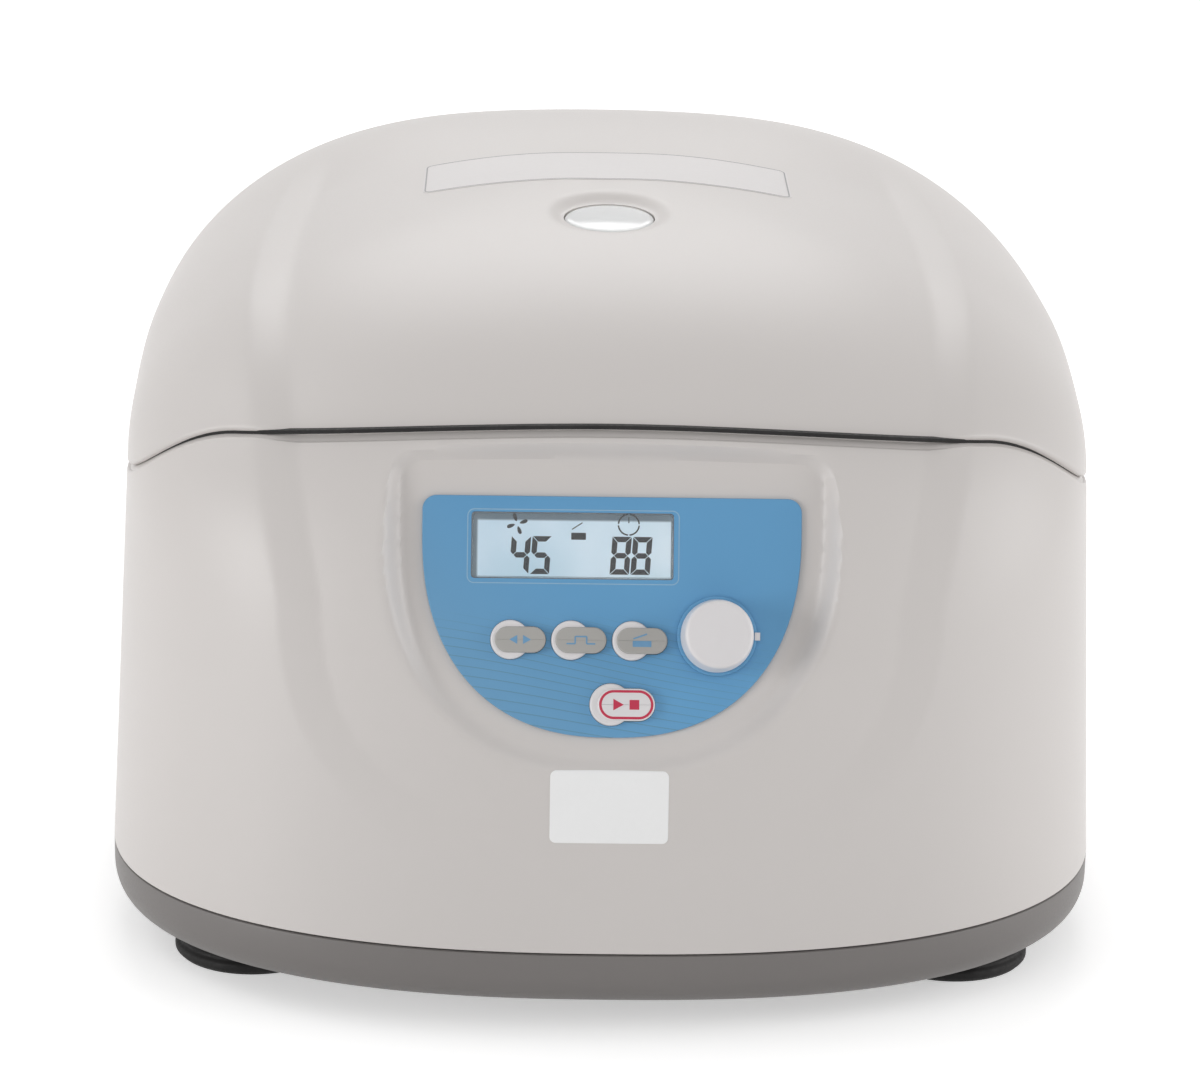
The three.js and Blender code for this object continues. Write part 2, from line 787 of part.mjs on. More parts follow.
const housing = housingSkin(skinColumns, skinRows, 0, true);
const lining = housingSkin(liningColumns, liningRows, liningInset, false);
const lidSpace = aboveParting(partingGap);
const inBody = (shape) => cut(shape, aboveParting(0));
const wellFrame = (shape) => moved(shape, 0, chamberY, 0);
const deckTop = aboveParting(-deckDrop, partingSteps / 2);
const deckUnder = aboveParting(-deckDrop - deckWall, partingSteps / 2);

function bodyShell() {
  const skin = inBody(housing);
  const field = common(fieldCutter(housingWall, fieldDepth + housingWall), skin);
  const pads = hingeSeats(false).map((pad) => common(pad, skin));
  const service = common(serviceBlock(housingWall, serviceFloorY - housingWall), skin);
  const shell = join(cut(skin, lining), field, service, ...pads);
  const hollows = [fieldCutter(0, fieldDepth), ...hingeSeats(true), serviceBlock(0, serviceFloorY)];
  return cut(shell, ...hollows, ...panelHoles(), ...rearHoles());
}

// Deck with the well that carries the chamber bowl, set into the top of the body shell
function innerDeck() {
  const inset = housingSkin(liningColumns, liningRows, liningInset + fitGap, false);
  const slab = common(inset, deckUnder);
  const wellOutside = rod(wellRadius + deckWall, wellFloorZ - deckWall, roofZ, roundSides);
  const wellWall = common(wellFrame(wellOutside), inset);
  const well = wellFrame(rod(wellRadius, wellFloorZ, roofZ, roundSides));
  const bowlHole = wellFrame(rod(bowlRadius + bowlWall + runGap, 0, roofZ, roundSides));
  const field = fieldCutter(housingWall + fitGap, fieldDepth + housingWall + fitGap);
  return cut(join(slab, wellWall), deckTop, well, bowlHole, field, ...hingeSeats(false, fitGap), lockSlot());
}

function serviceBlock(grow, y0) {
  const half = serviceWidth / 2 + grow;
  const tall = serviceHeight / 2 + grow;
  const y1 = rearReach + overrun;
  return block(serviceX - half, serviceX + half, y0, y1, serviceZ - tall, serviceZ + tall);
}

function rearHoles() {
  const y0 = serviceFloorY - 4 * housingWall;
  const y1 = rearReach + overrun;
  const hole = (x, width, height) => {
    const half = width / 2 + fitGap;
    const tall = height / 2 + fitGap;
    return block(x - half, x + half, y0, y1, serviceZ - tall, serviceZ + tall);
  };
  const holes = [hole(inletX, inletWidth, inletHeight), hole(switchX, switchWidth, switchHeight)];
  for (let i = 0; i < slotCount; i += 1) {
    holes.push(hole(slotX + (i - (slotCount - 1) / 2) * slotPitch, slotWidth, slotHeight));
  }
  return holes;
}

function panelHoles() {
  const z0 = -fieldDepth - housingWall - overrun;
  const windowWidth = displayWidth - 2 * displayLedge;
  const windowHeight = displayHeight - 2 * displayLedge;
  const window = roundedOutline(windowWidth, windowHeight, displayCorner, displayU, displayV);
  const holes = buttons.map(([, u, v, radius, length, , offset]) => {
    const left = u - radius;
    const right = u + offset + length / 2;
    const width = right - left + 2 * runGap;
    return extruded(roundedOutline(width, 2 * radius + 2 * runGap, radius, (left + right) / 2, v), z0, 0);
  });
  holes.push(extruded(window, z0, 0), moved(rod(encoderBushRadius + fitGap, z0, 0), knobU, knobV, 0));
  return holes.map(onPanel);
}

function lockSlot() {
  const half = hookThickness / 2 + runGap + fitGap;
  const reach = hookWidth / 2 + 4 * runGap;
  return block(-half, half, lockY - reach, lockY + reach, bowlFloorZ, partingFrontZ + overrun);
}

function controlPanel() {
  const plate = extruded(panelPoints.map(([u, v]) => new THREE.Vector2(u, v)), -panelThickness, 0);
  const window = roundedOutline(displayWidth, displayHeight, displayCorner, displayU, displayV);
  const holes = buttons.map((button) => capOutline(button, fitGap, -panelThickness - overrun, overrun));
  holes.push(extruded(window, -panelThickness - overrun, overrun));
  holes.push(moved(rod(encoderBushRadius + fitGap, -panelThickness - overrun, overrun), knobU, knobV, 0));
  return onPanel(cut(plate, ...holes));
}

function displayLens() {
  const width = displayWidth - 2 * fitGap;
  const height = displayHeight - 2 * fitGap;
  const outline = roundedOutline(width, height, displayCorner, displayU, displayV);
  return onPanel(extruded(outline, -panelThickness, lensThickness - panelThickness));
}

function displayModule() {
  const width = displayWidth + 2 * moduleMargin;
  const height = displayHeight + 2 * moduleMargin;
  const back = -fieldDepth - housingWall - fitGap;
  const glassWidth = displayWidth - 2 * displayLedge - 2 * fitGap;
  const glassHeight = displayHeight - 2 * displayLedge - 2 * fitGap;
  const glass = roundedOutline(glassWidth, glassHeight, displayCorner, displayU, displayV);
  const frame = roundedOutline(width, height, displayCorner, displayU, displayV);
  const box = extruded(frame, back - moduleThickness, back);
  return onPanel(join(box, extruded(glass, back, -fieldDepth - fitGap)));
}

function controlBoard() {
  const top = -boardSetback;
  const outline = roundedOutline(boardWidth, boardHeight, moduleMargin, 0, boardV);
  const board = extruded(outline, top - boardThickness, top);
  const switches = buttons.map(([, u, v]) => {
    const half = capRadius / 2;
    return block(u - half, u + half, v - half, v + half, top - boardThickness, top + capStem);
  });
  return onPanel(join(board, ...switches));
}

function encoder() {
  const top = -fieldDepth - housingWall - fitGap;
  const half = encoderBodySide / 2;
  const u = knobU;
  const v = knobV;
  const body = block(u - half, u + half, v - half, v + half, top - encoderBodyHeight, top);
  const bush = moved(rod(encoderBushRadius, top, 0), u, v, 0);
  const bore = moved(rod(encoderShaftRadius + fitGap, top - encoderBodyHeight / 2, overrun), u, v, 0);
  return onPanel(cut(join(body, bush), bore));
}

function buttonCap(button) {
  const [, u, v] = button;
  const seat = -fieldDepth - housingWall;
  const cap = capOutline(button, 0, seat, capRise, padRise);
  const stemEnd = -boardSetback + capStem + capTravel + fitGap;
  return onPanel(join(cap, moved(rod(stemRadius, stemEnd, seat, 12), u, v, 0)));
}

function knobCollar() {
  const tab = block(0, collarRadius + collarTab, -collarTab, collarTab, fitGap, fitGap + collarHeight);
  const disc = rod(collarRadius, fitGap, fitGap + collarHeight, 24);
  const bore = rod(encoderBushRadius + fitGap, 0, knobHeight);
  return onPanel(moved(cut(join(disc, tab), bore), knobU, knobV, 0));
}

function knob() {
  const base = fitGap + collarHeight + runGap;
  const top = base + knobHeight;
  const slope = (knobBaseRadius - knobFaceRadius) / knobHeight;
  const edge = arcPoints(knobFaceRadius - knobEdge, top - knobEdge, knobEdge, 0, Math.PI / 2, 2);
  const low = [knobFaceRadius + slope * knobHeight, base];
  const crown = [[knobFaceRadius / 2, top + knobCrown / 2], [0, top + knobCrown]];
  const body = turned([[0, base], low, ...edge, ...crown], 20);
  const socket = rod(encoderShaftRadius + fitGap, base - overrun, encoderShaftEnd() + fitGap);
  return onPanel(moved(cut(body, socket), knobU, knobV, 0));
}

const encoderShaftStart = () => -fieldDepth - housingWall - encoderBodyHeight / 2;
const encoderShaftEnd = () => encoderShaftStart() + encoderShaftLength;

function encoderShaft() {
  return onPanel(moved(rod(encoderShaftRadius, encoderShaftStart(), encoderShaftEnd(), 16), knobU, knobV, 0));
}

// Tray: an open pan whose lower edge rolls under like a hull
function traySkin(inset, top) {
  const angles = outlineAngles(trayColumns);
  const steps = 2;
  const levels = [[0, top], [0, trayFloorZ + trayRound]];
  for (let i = 1; i <= steps; i += 1) {
    const turn = (Math.PI / 2) * (i / steps);
    levels.push([trayRound * (1 - Math.cos(turn)), trayFloorZ + trayRound * (1 - Math.sin(turn))]);
  }
  const places = [];
  for (const [pulled, z] of levels) {
    for (const angle of angles) {
      const [x, y] = outlineAt(angle);
      const share = 1 - (pulled + inset) / Math.hypot(x, y);
      places.push(x * share, y * share, Math.max(z, trayFloorZ + inset));
    }
  }
  const count = angles.length;
  places.push(0, 0, top, 0, 0, trayFloorZ + inset);
  const faces = [];
  const last = (levels.length - 1) * count;
  for (let i = 0; i < count; i += 1) {
    const next = (i + 1) % count;
    for (let level = 0; level < levels.length - 1; level += 1) {
      const high = level * count;
      const low = high + count;
      faces.push(high + i, low + i, low + next, high + i, low + next, high + next);
    }
    faces.push(i, next, levels.length * count, last + next, last + i, levels.length * count + 1);
  }
  const geometry = new THREE.BufferGeometry();
  geometry.setAttribute("position", new THREE.Float32BufferAttribute(places, 3));
  geometry.setIndex(faces);
  return solid(geometry);
}

const trayInsideZ = trayFloorZ + trayWall;
const corners = [
  ["front_left", -1, -1],
  ["front_right", 1, -1],
  ["rear_left", -1, 1],
  ["rear_right", 1, 1],
];
const damperZ = trayInsideZ + bossHeight;
const plateZ = damperZ + damperHeight;

function baseTray() {
  const top = seamZ - trayGap;
  const pan = cut(traySkin(0, top), traySkin(trayWall, top + overrun));
  const bosses = corners.flatMap(([, sideX, sideY]) => [
    moved(rod(bossRadius, trayFloorZ, damperZ, 10), sideX * footX, sideY * footY, 0),
    moved(
      rod(bossRadius, trayFloorZ, damperZ, 10),
      (sideX * dampersSpan) / 2,
      chamberY + (sideY * dampersSpan) / 2,
      0,
    ),
  ]);
  const holes = corners.map(([, sideX, sideY]) => {
    return moved(rod(footSpigotRadius + fitGap, 0, trayInsideZ, 10), sideX * footX, sideY * footY, 0);
  });
  const half = trayRibWidth / 2;
  const ribs = [-1, 1].map((side) => {
    const x = side * footX;
    return block(x - half, x + half, -footY, footY, trayFloorZ, trayInsideZ + trayRibHeight);
  });
  const stands = [[driveX, driveY, driveWidth, driveLength], [supplyX, supplyY, supplyCore, supplyLength]];
  const rails = stands.flatMap(([x, y, width, length]) => [-1, 1].map((side) => {
    const y0 = y + (side * (length - bossRadius)) / 2 - half;
    return block(x - width / 2, x + width / 2, y0, y0 + trayRibWidth, trayFloorZ, driveZ);
  }));
  return cut(join(pan, ...ribs, ...bosses, ...rails), ...holes);
}

function foot() {
  const top = trayFloorZ - fitGap;
  const spigotTop = trayInsideZ - fitGap;
  const bead = [
    [footRadius - footRim, 0],
    [footRadius, footRim],
    [footRadius - footGroove, top / 2],
    [footRadius, top - footRim],
    [footRadius - footRim, top],
  ];
  const spigot = [[footSpigotRadius, top], [footSpigotRadius, spigotTop], [0, spigotTop]];
  return turned([[0, 0], ...bead, ...spigot], 12);
}

function chamberBowl() {
  const outer = bowlRadius + bowlWall;
  const floor = bowlFloorZ + bowlWall;
  const rim = wellFloorZ + bowlWall;
  const bend = [bowlRadius - bowlCorner, floor + bowlCorner];
  const inside = arcPoints(...bend, bowlCorner, -Math.PI / 2, 0, 2);
  const outside = arcPoints(...bend, bowlCorner + bowlWall, 0, -Math.PI / 2, 2);
  const start = [bowlHoleRadius, floor];
  const edge = [[bowlFlangeRadius, rim], [bowlFlangeRadius, wellFloorZ]];
  const flange = [[bowlRadius, rim], ...edge, [outer, wellFloorZ]];
  return turned([start, ...inside, ...flange, ...outside, [bowlHoleRadius, bowlFloorZ], start], roundSides);
}

function grommet() {
  const inner = motorBossRadius + runGap;
  const neck = bowlHoleRadius - fitGap;
  const lip = bowlHoleRadius + grommetLip;
  const low = bowlFloorZ - fitGap;
  const high = bowlFloorZ + bowlWall + fitGap;
  const start = [inner, low - grommetLipHeight];
  const under = [[lip, low - grommetLipHeight], [lip, low], [neck, low]];
  const over = [[neck, high], [lip, high], [neck, high + grommetLipHeight], [inner, high + grommetLipHeight]];
  return turned([start, ...under, ...over, start], 12);
}

function motor() {
  const low = plateZ + plateThickness;
  const high = low + motorHeight;
  const waist = motorRadius - motorBandDepth;
  const belts = [
    [motorRadius, low],
    [motorRadius, low + motorHeight / 4],
    [waist, low + motorHeight / 4 + motorBandDepth],
    [waist, high - motorHeight / 4 - motorBandDepth],
    [motorRadius, high - motorHeight / 4],
    [motorRadius - motorBandDepth, high],
  ];
  const boss = [[motorBossRadius, high], [motorBossRadius, motorBossTopZ]];
  const bore = motorShaftRadius + fitGap;
  const socket = [[bore, motorBossTopZ], [bore, shaftTailZ - runGap], [0, shaftTailZ - runGap]];
  return turned([[0, low], ...belts, ...boss, ...socket], 16);
}

function motorPlate() {
  const outline = roundedOutline(plateSide, plateSide, plateCorner, 0, chamberY);
  const window = new THREE.Path();
  window.absarc(0, chamberY, motorRadius / 2, 0, 2 * Math.PI, true);
  outline.holes.push(window);
  return extruded(outline, plateZ, plateZ + plateThickness);
}

function damper() {
  const low = [[0, 0], [damperRadius, 0], [damperWaistRadius, damperHeight / 4]];
  const high = low.map(([radius, z]) => [radius, damperHeight - z]).reverse();
  return turned([...low, ...high], smallSides);
}

// Rotor, in its own frame on the spindle axis
const seatAlong = (along, outward = 0) => [
  sleeveSeatRadius - along * Math.sin(outerDishTilt) + outward * Math.cos(outerDishTilt),
  sleeveSeatZ + along * Math.cos(outerDishTilt) + outward * Math.sin(outerDishTilt),
];
const sleeveOuterRadius = sleeveBoreRadius + sleeveWall;
const hubTopZ = sleeveSeatZ - (sleeveSeatRadius - rotorDishStartRadius) * Math.tan(outerDishTilt);

function rotorBody() {
  const inside = sleeveOuterRadius + 2 * runGap;
  const outside = inside + rotorWall;
  const foot = sleeveOuterRadius - sleeveLength - rotorFootReach;
  const skirtIn = seatAlong(foot, inside);
  const skirtOut = seatAlong(foot, outside);
  const skirtZ = skirtIn[1] - rotorSkirt;
  const crest = [seatAlong(-rotorDishWall, inside), seatAlong(0, outside), seatAlong(0, inside)];
  const dishUnder = [rotorHubRadius, hubTopZ - rotorDishWall - (rotorDishStartRadius - rotorHubRadius)];
  const bore = motorShaftRadius + fitGap;
  const start = [bore, rotorHubBottomZ];
  return cut(
    turned(
      [
        start,
        [rotorHubRadius, rotorHubBottomZ],
        dishUnder,
        crest[0],
        skirtIn,
        [skirtIn[0], skirtZ],
        [skirtOut[0], skirtZ],
        skirtOut,
        crest[1],
        crest[2],
        [rotorDishStartRadius, hubTopZ],
        [bore, hubTopZ],
        start,
      ],
      roundSides,
    ),
    ...sleevePlaces().map(({ matrix }) => {
      const through = rod(sleeveOuterRadius + fitGap, -sleeveLength / 4, sleeveLength / 2);
      const seat = rod(sleeveRimRadius + fitGap, 0, sleeveLength / 2);
      return placed(join(through, seat), matrix);
    }),
  );
}

function sleevePlaces() {
  return Array.from({ length: sleeveCount }, (_, i) => {
    const azimuth = (2 * Math.PI * (i + 0.5)) / sleeveCount;
    const matrix = new THREE.Matrix4()
      .makeRotationZ(azimuth)
      .multiply(new THREE.Matrix4().makeTranslation(sleeveSeatRadius, 0, sleeveSeatZ))
      .multiply(new THREE.Matrix4().makeRotationY(-outerDishTilt));
    return { name: "tube_sleeve_" + (i + 1), matrix };
  });
}

function tubeSleeve() {
  const deep = sleeveOuterRadius - sleeveLength;
  const outside = arcPoints(0, deep, sleeveOuterRadius, -Math.PI / 2, 0, 2).slice(1);
  const inside = arcPoints(0, deep, sleeveBoreRadius, 0, -Math.PI / 2, 2).slice(0, -1);
  const rim = [
    [sleeveOuterRadius, fitGap],
    [sleeveRimRadius, fitGap],
    [sleeveRimRadius, fitGap + sleeveRimHeight],
    [sleeveBoreRadius, fitGap + sleeveRimHeight],
  ];
  const bottom = deep - sleeveOuterRadius;
  return turned([[0, bottom], ...outside, ...rim, ...inside, [0, deep - sleeveBoreRadius]], smallSides);
}

function rotorNut() {
  const low = hubTopZ + fitGap;
  let body = rod(nutRadius, low, low + nutHeight, 24);
  for (let i = 0; i < nutFlutes; i += 1) {
    const angle = (2 * Math.PI * i) / nutFlutes;
    const flute = rod(nutFluteRadius, low - overrun, low + nutHeight - nutCover, 6);
    body = cut(body, moved(flute, nutRadius * Math.cos(angle), nutRadius * Math.sin(angle), 0));
  }
  return cut(body, rod(motorShaftRadius + fitGap, low - overrun, low + nutHeight - nutCover));
}

function rotorShaft() {
  const top = hubTopZ + shaftAboveHub;
  const slim = motorShaftRadius;
  const wide = shaftShoulderRadius;
  const shoulder = rotorHubBottomZ - fitGap;
  const low = motorBossTopZ + runGap;
  const profile = [[0, shaftTailZ], [slim, shaftTailZ], [slim, low], [wide, low], [wide, shoulder]];
  return turned([...profile, [slim, shoulder], [slim, top], [0, top]], 14);
}

// Height of the plain housing on the middle line, towards the front
function ridgeAt(y) {
  const path = columnAt(-Math.PI / 2).reverse();
  const past = path.findIndex((at) => at[1] < y);
  const share = (y - path[past - 1][1]) / (path[past][1] - path[past - 1][1]);
  return lerp(path[past - 1][2], path[past][2], share);
}

// Lid shell with its sunk port, and the parts that hang in it
const portFrame = new THREE.Matrix4()
  .makeTranslation(0, portY, ridgeAt(portY) - bandDepth - portDishDepth)
  .multiply(new THREE.Matrix4().makeRotationX(radians(portTiltDegrees)));

function lidShell() {
  const shell = common(housing, lidSpace);
  const hollow = cut(shell, lining);
  const pads = hingeSeats(false).map((pad) => common(pad, shell));
  const boss = placed(rod(portDishRadius + housingWall, -portGlass, portDishRadius, 24), portFrame);
  const rise = portDishRadius / 3;
  const dish = turned([[0, 0], [portRadius, 0], [portDishRadius * 2, rise * 2], [0, rise * 2]], 24);
  const hole = rod(portRadius, -portDishRadius, portDishRadius, 24);
  const whole = join(hollow, common(boss, shell), ...pads);
  return cut(whole, placed(join(dish, hole), portFrame), ...hingeSeats(true));
}

const domeBend = (spare) => arcPoints(0, 0, 1, 0, Math.PI / 2, 3).map(([across, up]) => [
  domeRadius / 2 + across * (domeRadius / 2 - spare),
  domeShoulderZ + up * (domeTopZ - domeShoulderZ - spare),
]);

function lidLiner() {
  const wallInside = plugRadius - linerWall;
  const plateTop = aboveParting(partingGap + linerDrop + linerWall, partingSteps / 2);
  const plateLow = aboveParting(partingGap + linerDrop, partingSteps / 2);
  const inset = housingSkin(liningColumns, liningRows, liningInset + runGap, false);
  const core = wellFrame(rod(wallInside + linerWall / 2, 0, roofZ, roundSides));
  const plate = cut(common(inset, plateLow), plateTop, core);
  const lipZ = plugBottomZ + linerWall;
  const foot = [domeFootRadius - linerWall, plugBottomZ];
  const inside = [[0, domeTopZ - linerWall], ...domeBend(linerWall).reverse(), foot];
  const plug = [[plugRadius, plugBottomZ], [plugRadius, roofZ], [wallInside, roofZ], [wallInside, lipZ]];
  const outside = [...plug, [domeFootRadius, lipZ], ...domeBend(0), [0, domeTopZ]];
  const dome = wellFrame(turned([...inside, ...outside], roundSides));
  const upper = cut(plateTop, wellFrame(rod(wallInside - linerWall, 0, roofZ, roundSides)));
  const rearY = hingeSeatY - hingeSeatWall - fitGap;
  const rear = block(-halfWidth, halfWidth, rearY, rearReach, seamZ, roofZ);
  return cut(join(plate, cut(dome, upper)), portSight(portRadius - portLedge), rear);
}

const portSight = (radius) => placed(rod(radius, -roofZ / 4, portDishRadius, 24), portFrame);

function portTube(shell) {
  const column = placed(rod(portTubeRadius, -roofZ / 8, -portGlass - fitGap, 24), portFrame);
  const foot = [[0, plugBottomZ], [domeFootRadius, plugBottomZ]];
  const dome = turned([...foot, ...domeBend(0), [0, domeTopZ]], roundSides);
  const above = moved(shell, 0, 0, -fitGap);
  return cut(column, portSight(portRadius - portLedge), above, moved(wellFrame(dome), 0, 0, fitGap));
}

function portWindow() {
  return placed(rod(portRadius - fitGap, -portGlass, -fitGap, 24), portFrame);
}

function lidGasket() {
  const low = wellFloorZ + bowlWall + fitGap;
  const high = plugBottomZ - fitGap;
  return wellFrame(ring(gasketInnerRadius, gasketOuterRadius, low, high, roundSides));
}

// Lock: the hook hangs from the liner through the deck, and the bolt waits beside its window
const hookTopZ = partingFrontZ + partingGap + linerDrop - fitGap;
const hookLowZ = hookTopZ - hookReach;
const boltZ = hookLowZ + hookFoot + hookWindowHeight / 2;
const lockPlateZ = partingAt(lockPlateLength / 2, lockY) - deckDrop - deckWall - runGap;

function lidHook() {
  const half = hookThickness / 2;
  const reach = hookWidth / 2;
  const blade = block(-half, half, lockY - reach, lockY + reach, hookLowZ, hookTopZ);
  const slot = hookWindowWidth / 2;
  const top = boltZ + hookWindowHeight / 2;
  const window = block(-overrun, overrun, lockY - slot, lockY + slot, hookLowZ + hookFoot, top);
  const long = hookPlateLength / 2;
  const plateZ0 = hookTopZ - 2 * partingGap / 3;
  const foot = block(-long, long, lockY - reach, lockY + reach, plateZ0, hookTopZ);
  return join(cut(blade, window), cut(foot, aboveParting(partingGap + linerDrop - fitGap, partingSteps / 2)));
}

function lockFrame() {
  const half = lockPlateWidth / 2;
  const long = lockPlateLength / 2;
  const top = lockPlateZ;
  const inner = hookThickness / 2 + 2 * runGap;
  const outer = inner + lockPlateThickness;
  const hat = [
    [-long, top],
    [-long, top - lockPlateThickness],
    [-outer, top - lockPlateThickness],
    [-outer, top - lockEarHeight],
    [outer, top - lockEarHeight],
    [outer, top - lockPlateThickness],
    [long, top - lockPlateThickness],
    [long, top],
    [inner, top],
    [inner, top - lockEarHeight + lockPlateThickness],
    [-inner, top - lockEarHeight + lockPlateThickness],
    [-inner, top],
  ];
  const strip = extruded(hat.map(([x, z]) => new THREE.Vector2(x, z)), -half, half);
  const upright = placed(strip, new THREE.Matrix4().makeRotationX(Math.PI / 2));
  return cut(moved(upright, 0, lockY, 0), alongX(rod(boltRadius + fitGap, -long, long), boltZ));
}

const alongX = (shape, z) => {
  return moved(placed(shape, new THREE.Matrix4().makeRotationY(Math.PI / 2)), 0, lockY, z);
};
const boltStart = hookThickness / 2 + runGap;

function lockBolt() {
  return alongX(rod(boltRadius, boltStart, boltStart + boltLength, 16), boltZ);
}

function lockSolenoid() {
  const start = boltStart + boltLength - boltTravel;
  const half = solenoidSide / 2;
  const body = block(start, start + solenoidLength, lockY - half, lockY + half, boltZ - half, boltZ + half);
  const bore = alongX(rod(boltRadius + fitGap, start - overrun, boltStart + boltLength + overrun / 2), boltZ);
  return cut(body, bore);
}

function lidSensor() {
  const x1 = -hookThickness / 2 - 2 * runGap - lockPlateThickness - fitGap;
  const half = senseWidth / 2;
  const low = boltZ - senseHeight / 2;
  return block(x1 - senseLength, x1, lockY - half, lockY + half, low, low + senseHeight);
}

// Hinge: the body's bracket holds the outer barrels, the lid's arm the middle one
const barrelParts = (x, middle) => {
  const half = hingeWidth / 2;
  const inner = half * hingeMiddleShare;
  return middle ? [[x - inner, x + inner]] : [[x - half, x - inner - fitGap], [x + inner + fitGap, x + half]];
};
const acrossHinge = (radius, x0, x1, sides) => {
  const turn = new THREE.Matrix4().makeRotationY(Math.PI / 2);
  return moved(placed(rod(radius, x0, x1, sides), turn), 0, hingeY, hingeZ);
};

function hingeLeafOf(x, ofLid) {
  const half = hingeWidth / 2;
  const side = ofLid ? 1 : -1;
  const near = hingeZ + side * (hingeBarrelRadius / 2);
  const far = near + side * hingeLeafHeight;
  const y0 = hingeSeatY + fitGap;
  const span = (a, b) => [Math.min(a, b), Math.max(a, b)];
  const plate = block(x - half, x + half, y0, y0 + hingeLeaf, ...span(near, far));
  const barrels = barrelParts(x, ofLid).flatMap(([x0, x1]) => [
    acrossHinge(hingeBarrelRadius, x0, x1, smallSides),
    block(x0, x1, y0, hingeY, ...span(hingeZ + side * fitGap, hingeZ + side * hingeArmHeight)),
  ]);
  const keep = block(x - half, x + half, y0, hingeY + hingeBarrelRadius, seatLowZ, seatHighZ);
  const spare = barrelParts(x, !ofLid).map(([x0, x1]) => {
    return acrossHinge(hingeBarrelRadius + runGap, x0 - fitGap, x1 + fitGap, smallSides);
  });
  const leaf = common(join(cut(plate, ...spare), ...barrels), keep);
  return cut(leaf, acrossHinge(hingePinRadius + fitGap, x - half - overrun, x + half + overrun, 10));
}

function hingePin(x) {
  return acrossHinge(hingePinRadius, x - hingeWidth / 2, x + hingeWidth / 2, 10);
}

// Mains inlet with its three blades, and the rocker switch
function inletSocket() {
  const half = inletWidth / 2;
  const tall = inletHeight / 2;
  const y1 = serviceFloorY + fitGap + inletFlange;
  const y0 = y1 - inletDepth;
  const body = block(inletX - half, inletX + half, y0, y1, serviceZ - tall, serviceZ + tall);
  const wide = half + inletFlangeMargin;
  const high = tall + inletFlangeMargin;
  const flangeY = serviceFloorY + fitGap;
  const flange = block(inletX - wide, inletX + wide, flangeY, y1, serviceZ - high, serviceZ + high);
  const inside = half - inletWall;
  const within = tall - inletWall;
  const cavity = block(
    inletX - inside, inletX + inside, y0 + inletWall, y1 + overrun, serviceZ - within, serviceZ + within,
  );
  const low = -inletPinHeight;
  const blades = [[0, inletEarthOffset], [-inletPinSpread, low], [inletPinSpread, low]];
  const pins = blades.map(([offset, lift]) => {
    const x0 = inletX + offset - inletPinWidth / 2;
    const z0 = serviceZ + lift - inletPinHeight / 2;
    return block(x0, x0 + inletPinWidth, y0, y0 + inletWall + inletPinLength, z0, z0 + inletPinHeight);
  });
  return join(cut(join(body, flange), cavity), ...pins);
}

function switchHousing() {
  const half = switchWidth / 2;
  const tall = switchHeight / 2;
  const y1 = serviceFloorY + fitGap + inletFlange;
  const y0 = y1 - switchDepth;
  const wide = half + inletFlange;
  const high = tall + inletFlange;
  const body = block(switchX - half, switchX + half, y0, y1, serviceZ - tall, serviceZ + tall);
  const flangeY = serviceFloorY + fitGap;
  const flange = block(switchX - wide, switchX + wide, flangeY, y1, serviceZ - high, serviceZ + high);
  const inside = half - inletWall;
  const within = tall - inletWall;
  const cavity = block(
    switchX - inside, switchX + inside, y0 + inletWall, y1 + overrun, serviceZ - within, serviceZ + within,
  );
  return cut(join(body, flange), cavity);
}

const rockerPivotY = serviceFloorY + fitGap + inletFlange - switchDepth / 2;

function powerRocker() {
  const half = switchWidth / 2 - inletWall - rockerGap;
  const reach = switchHeight / 2 - inletWall - rockerGap;
  const face = serviceFloorY + fitGap + inletFlange + rockerRise - rockerPivotY;
  const tall = reach * Math.cos(radians(rockerAngleDegrees)) - face * Math.sin(radians(rockerAngleDegrees));
  const shape = new THREE.Shape();
  shape.moveTo(-tall, face);
  shape.quadraticCurveTo(0, face - 2 * rockerRise, tall, face);
  shape.lineTo(reach / 3, -reach / 3);
  shape.lineTo(-reach / 3, -reach / 3);
  const body = extruded(shape, -half, half);
  const turn = new THREE.Matrix4().makeBasis(
    new THREE.Vector3(0, 0, 1), new THREE.Vector3(0, 1, 0), new THREE.Vector3(-1, 0, 0),
  );
  const rest = new THREE.Matrix4().makeRotationX(radians(rockerAngleDegrees)).multiply(turn);
  return moved(placed(body, rest), switchX, rockerPivotY, serviceZ);
}

// Boards and supply that sit on the tray's pads
function driveBoard() {
  const x0 = driveX - driveWidth / 2;
  const y0 = driveY - driveLength / 2;
  const top = driveZ + boardThickness;
  const board = block(x0, x0 + driveWidth, y0, y0 + driveLength, driveZ, top);
  const sinkX = x0 + sinkFin;
  const pieces = [block(sinkX, sinkX + sinkHeight, driveY, driveY + sinkLength / 2, driveZ, top + sinkFin)];
  for (let i = 0; i < sinkFins; i += 1) {
    const x = x0 + sinkFin + (i * (sinkHeight - sinkFin)) / (sinkFins - 1);
    pieces.push(block(x, x + sinkFin, driveY, driveY + sinkLength / 2, driveZ, top + sinkHeight));
  }
  for (const side of [0, 1]) {
    const y = y0 + capacitorRadius * (1.5 + 2.4 * side);
    pieces.push(moved(rod(capacitorRadius, driveZ, top + capacitorHeight, 20), driveX, y, 0));
  }
  return join(board, ...pieces);
}

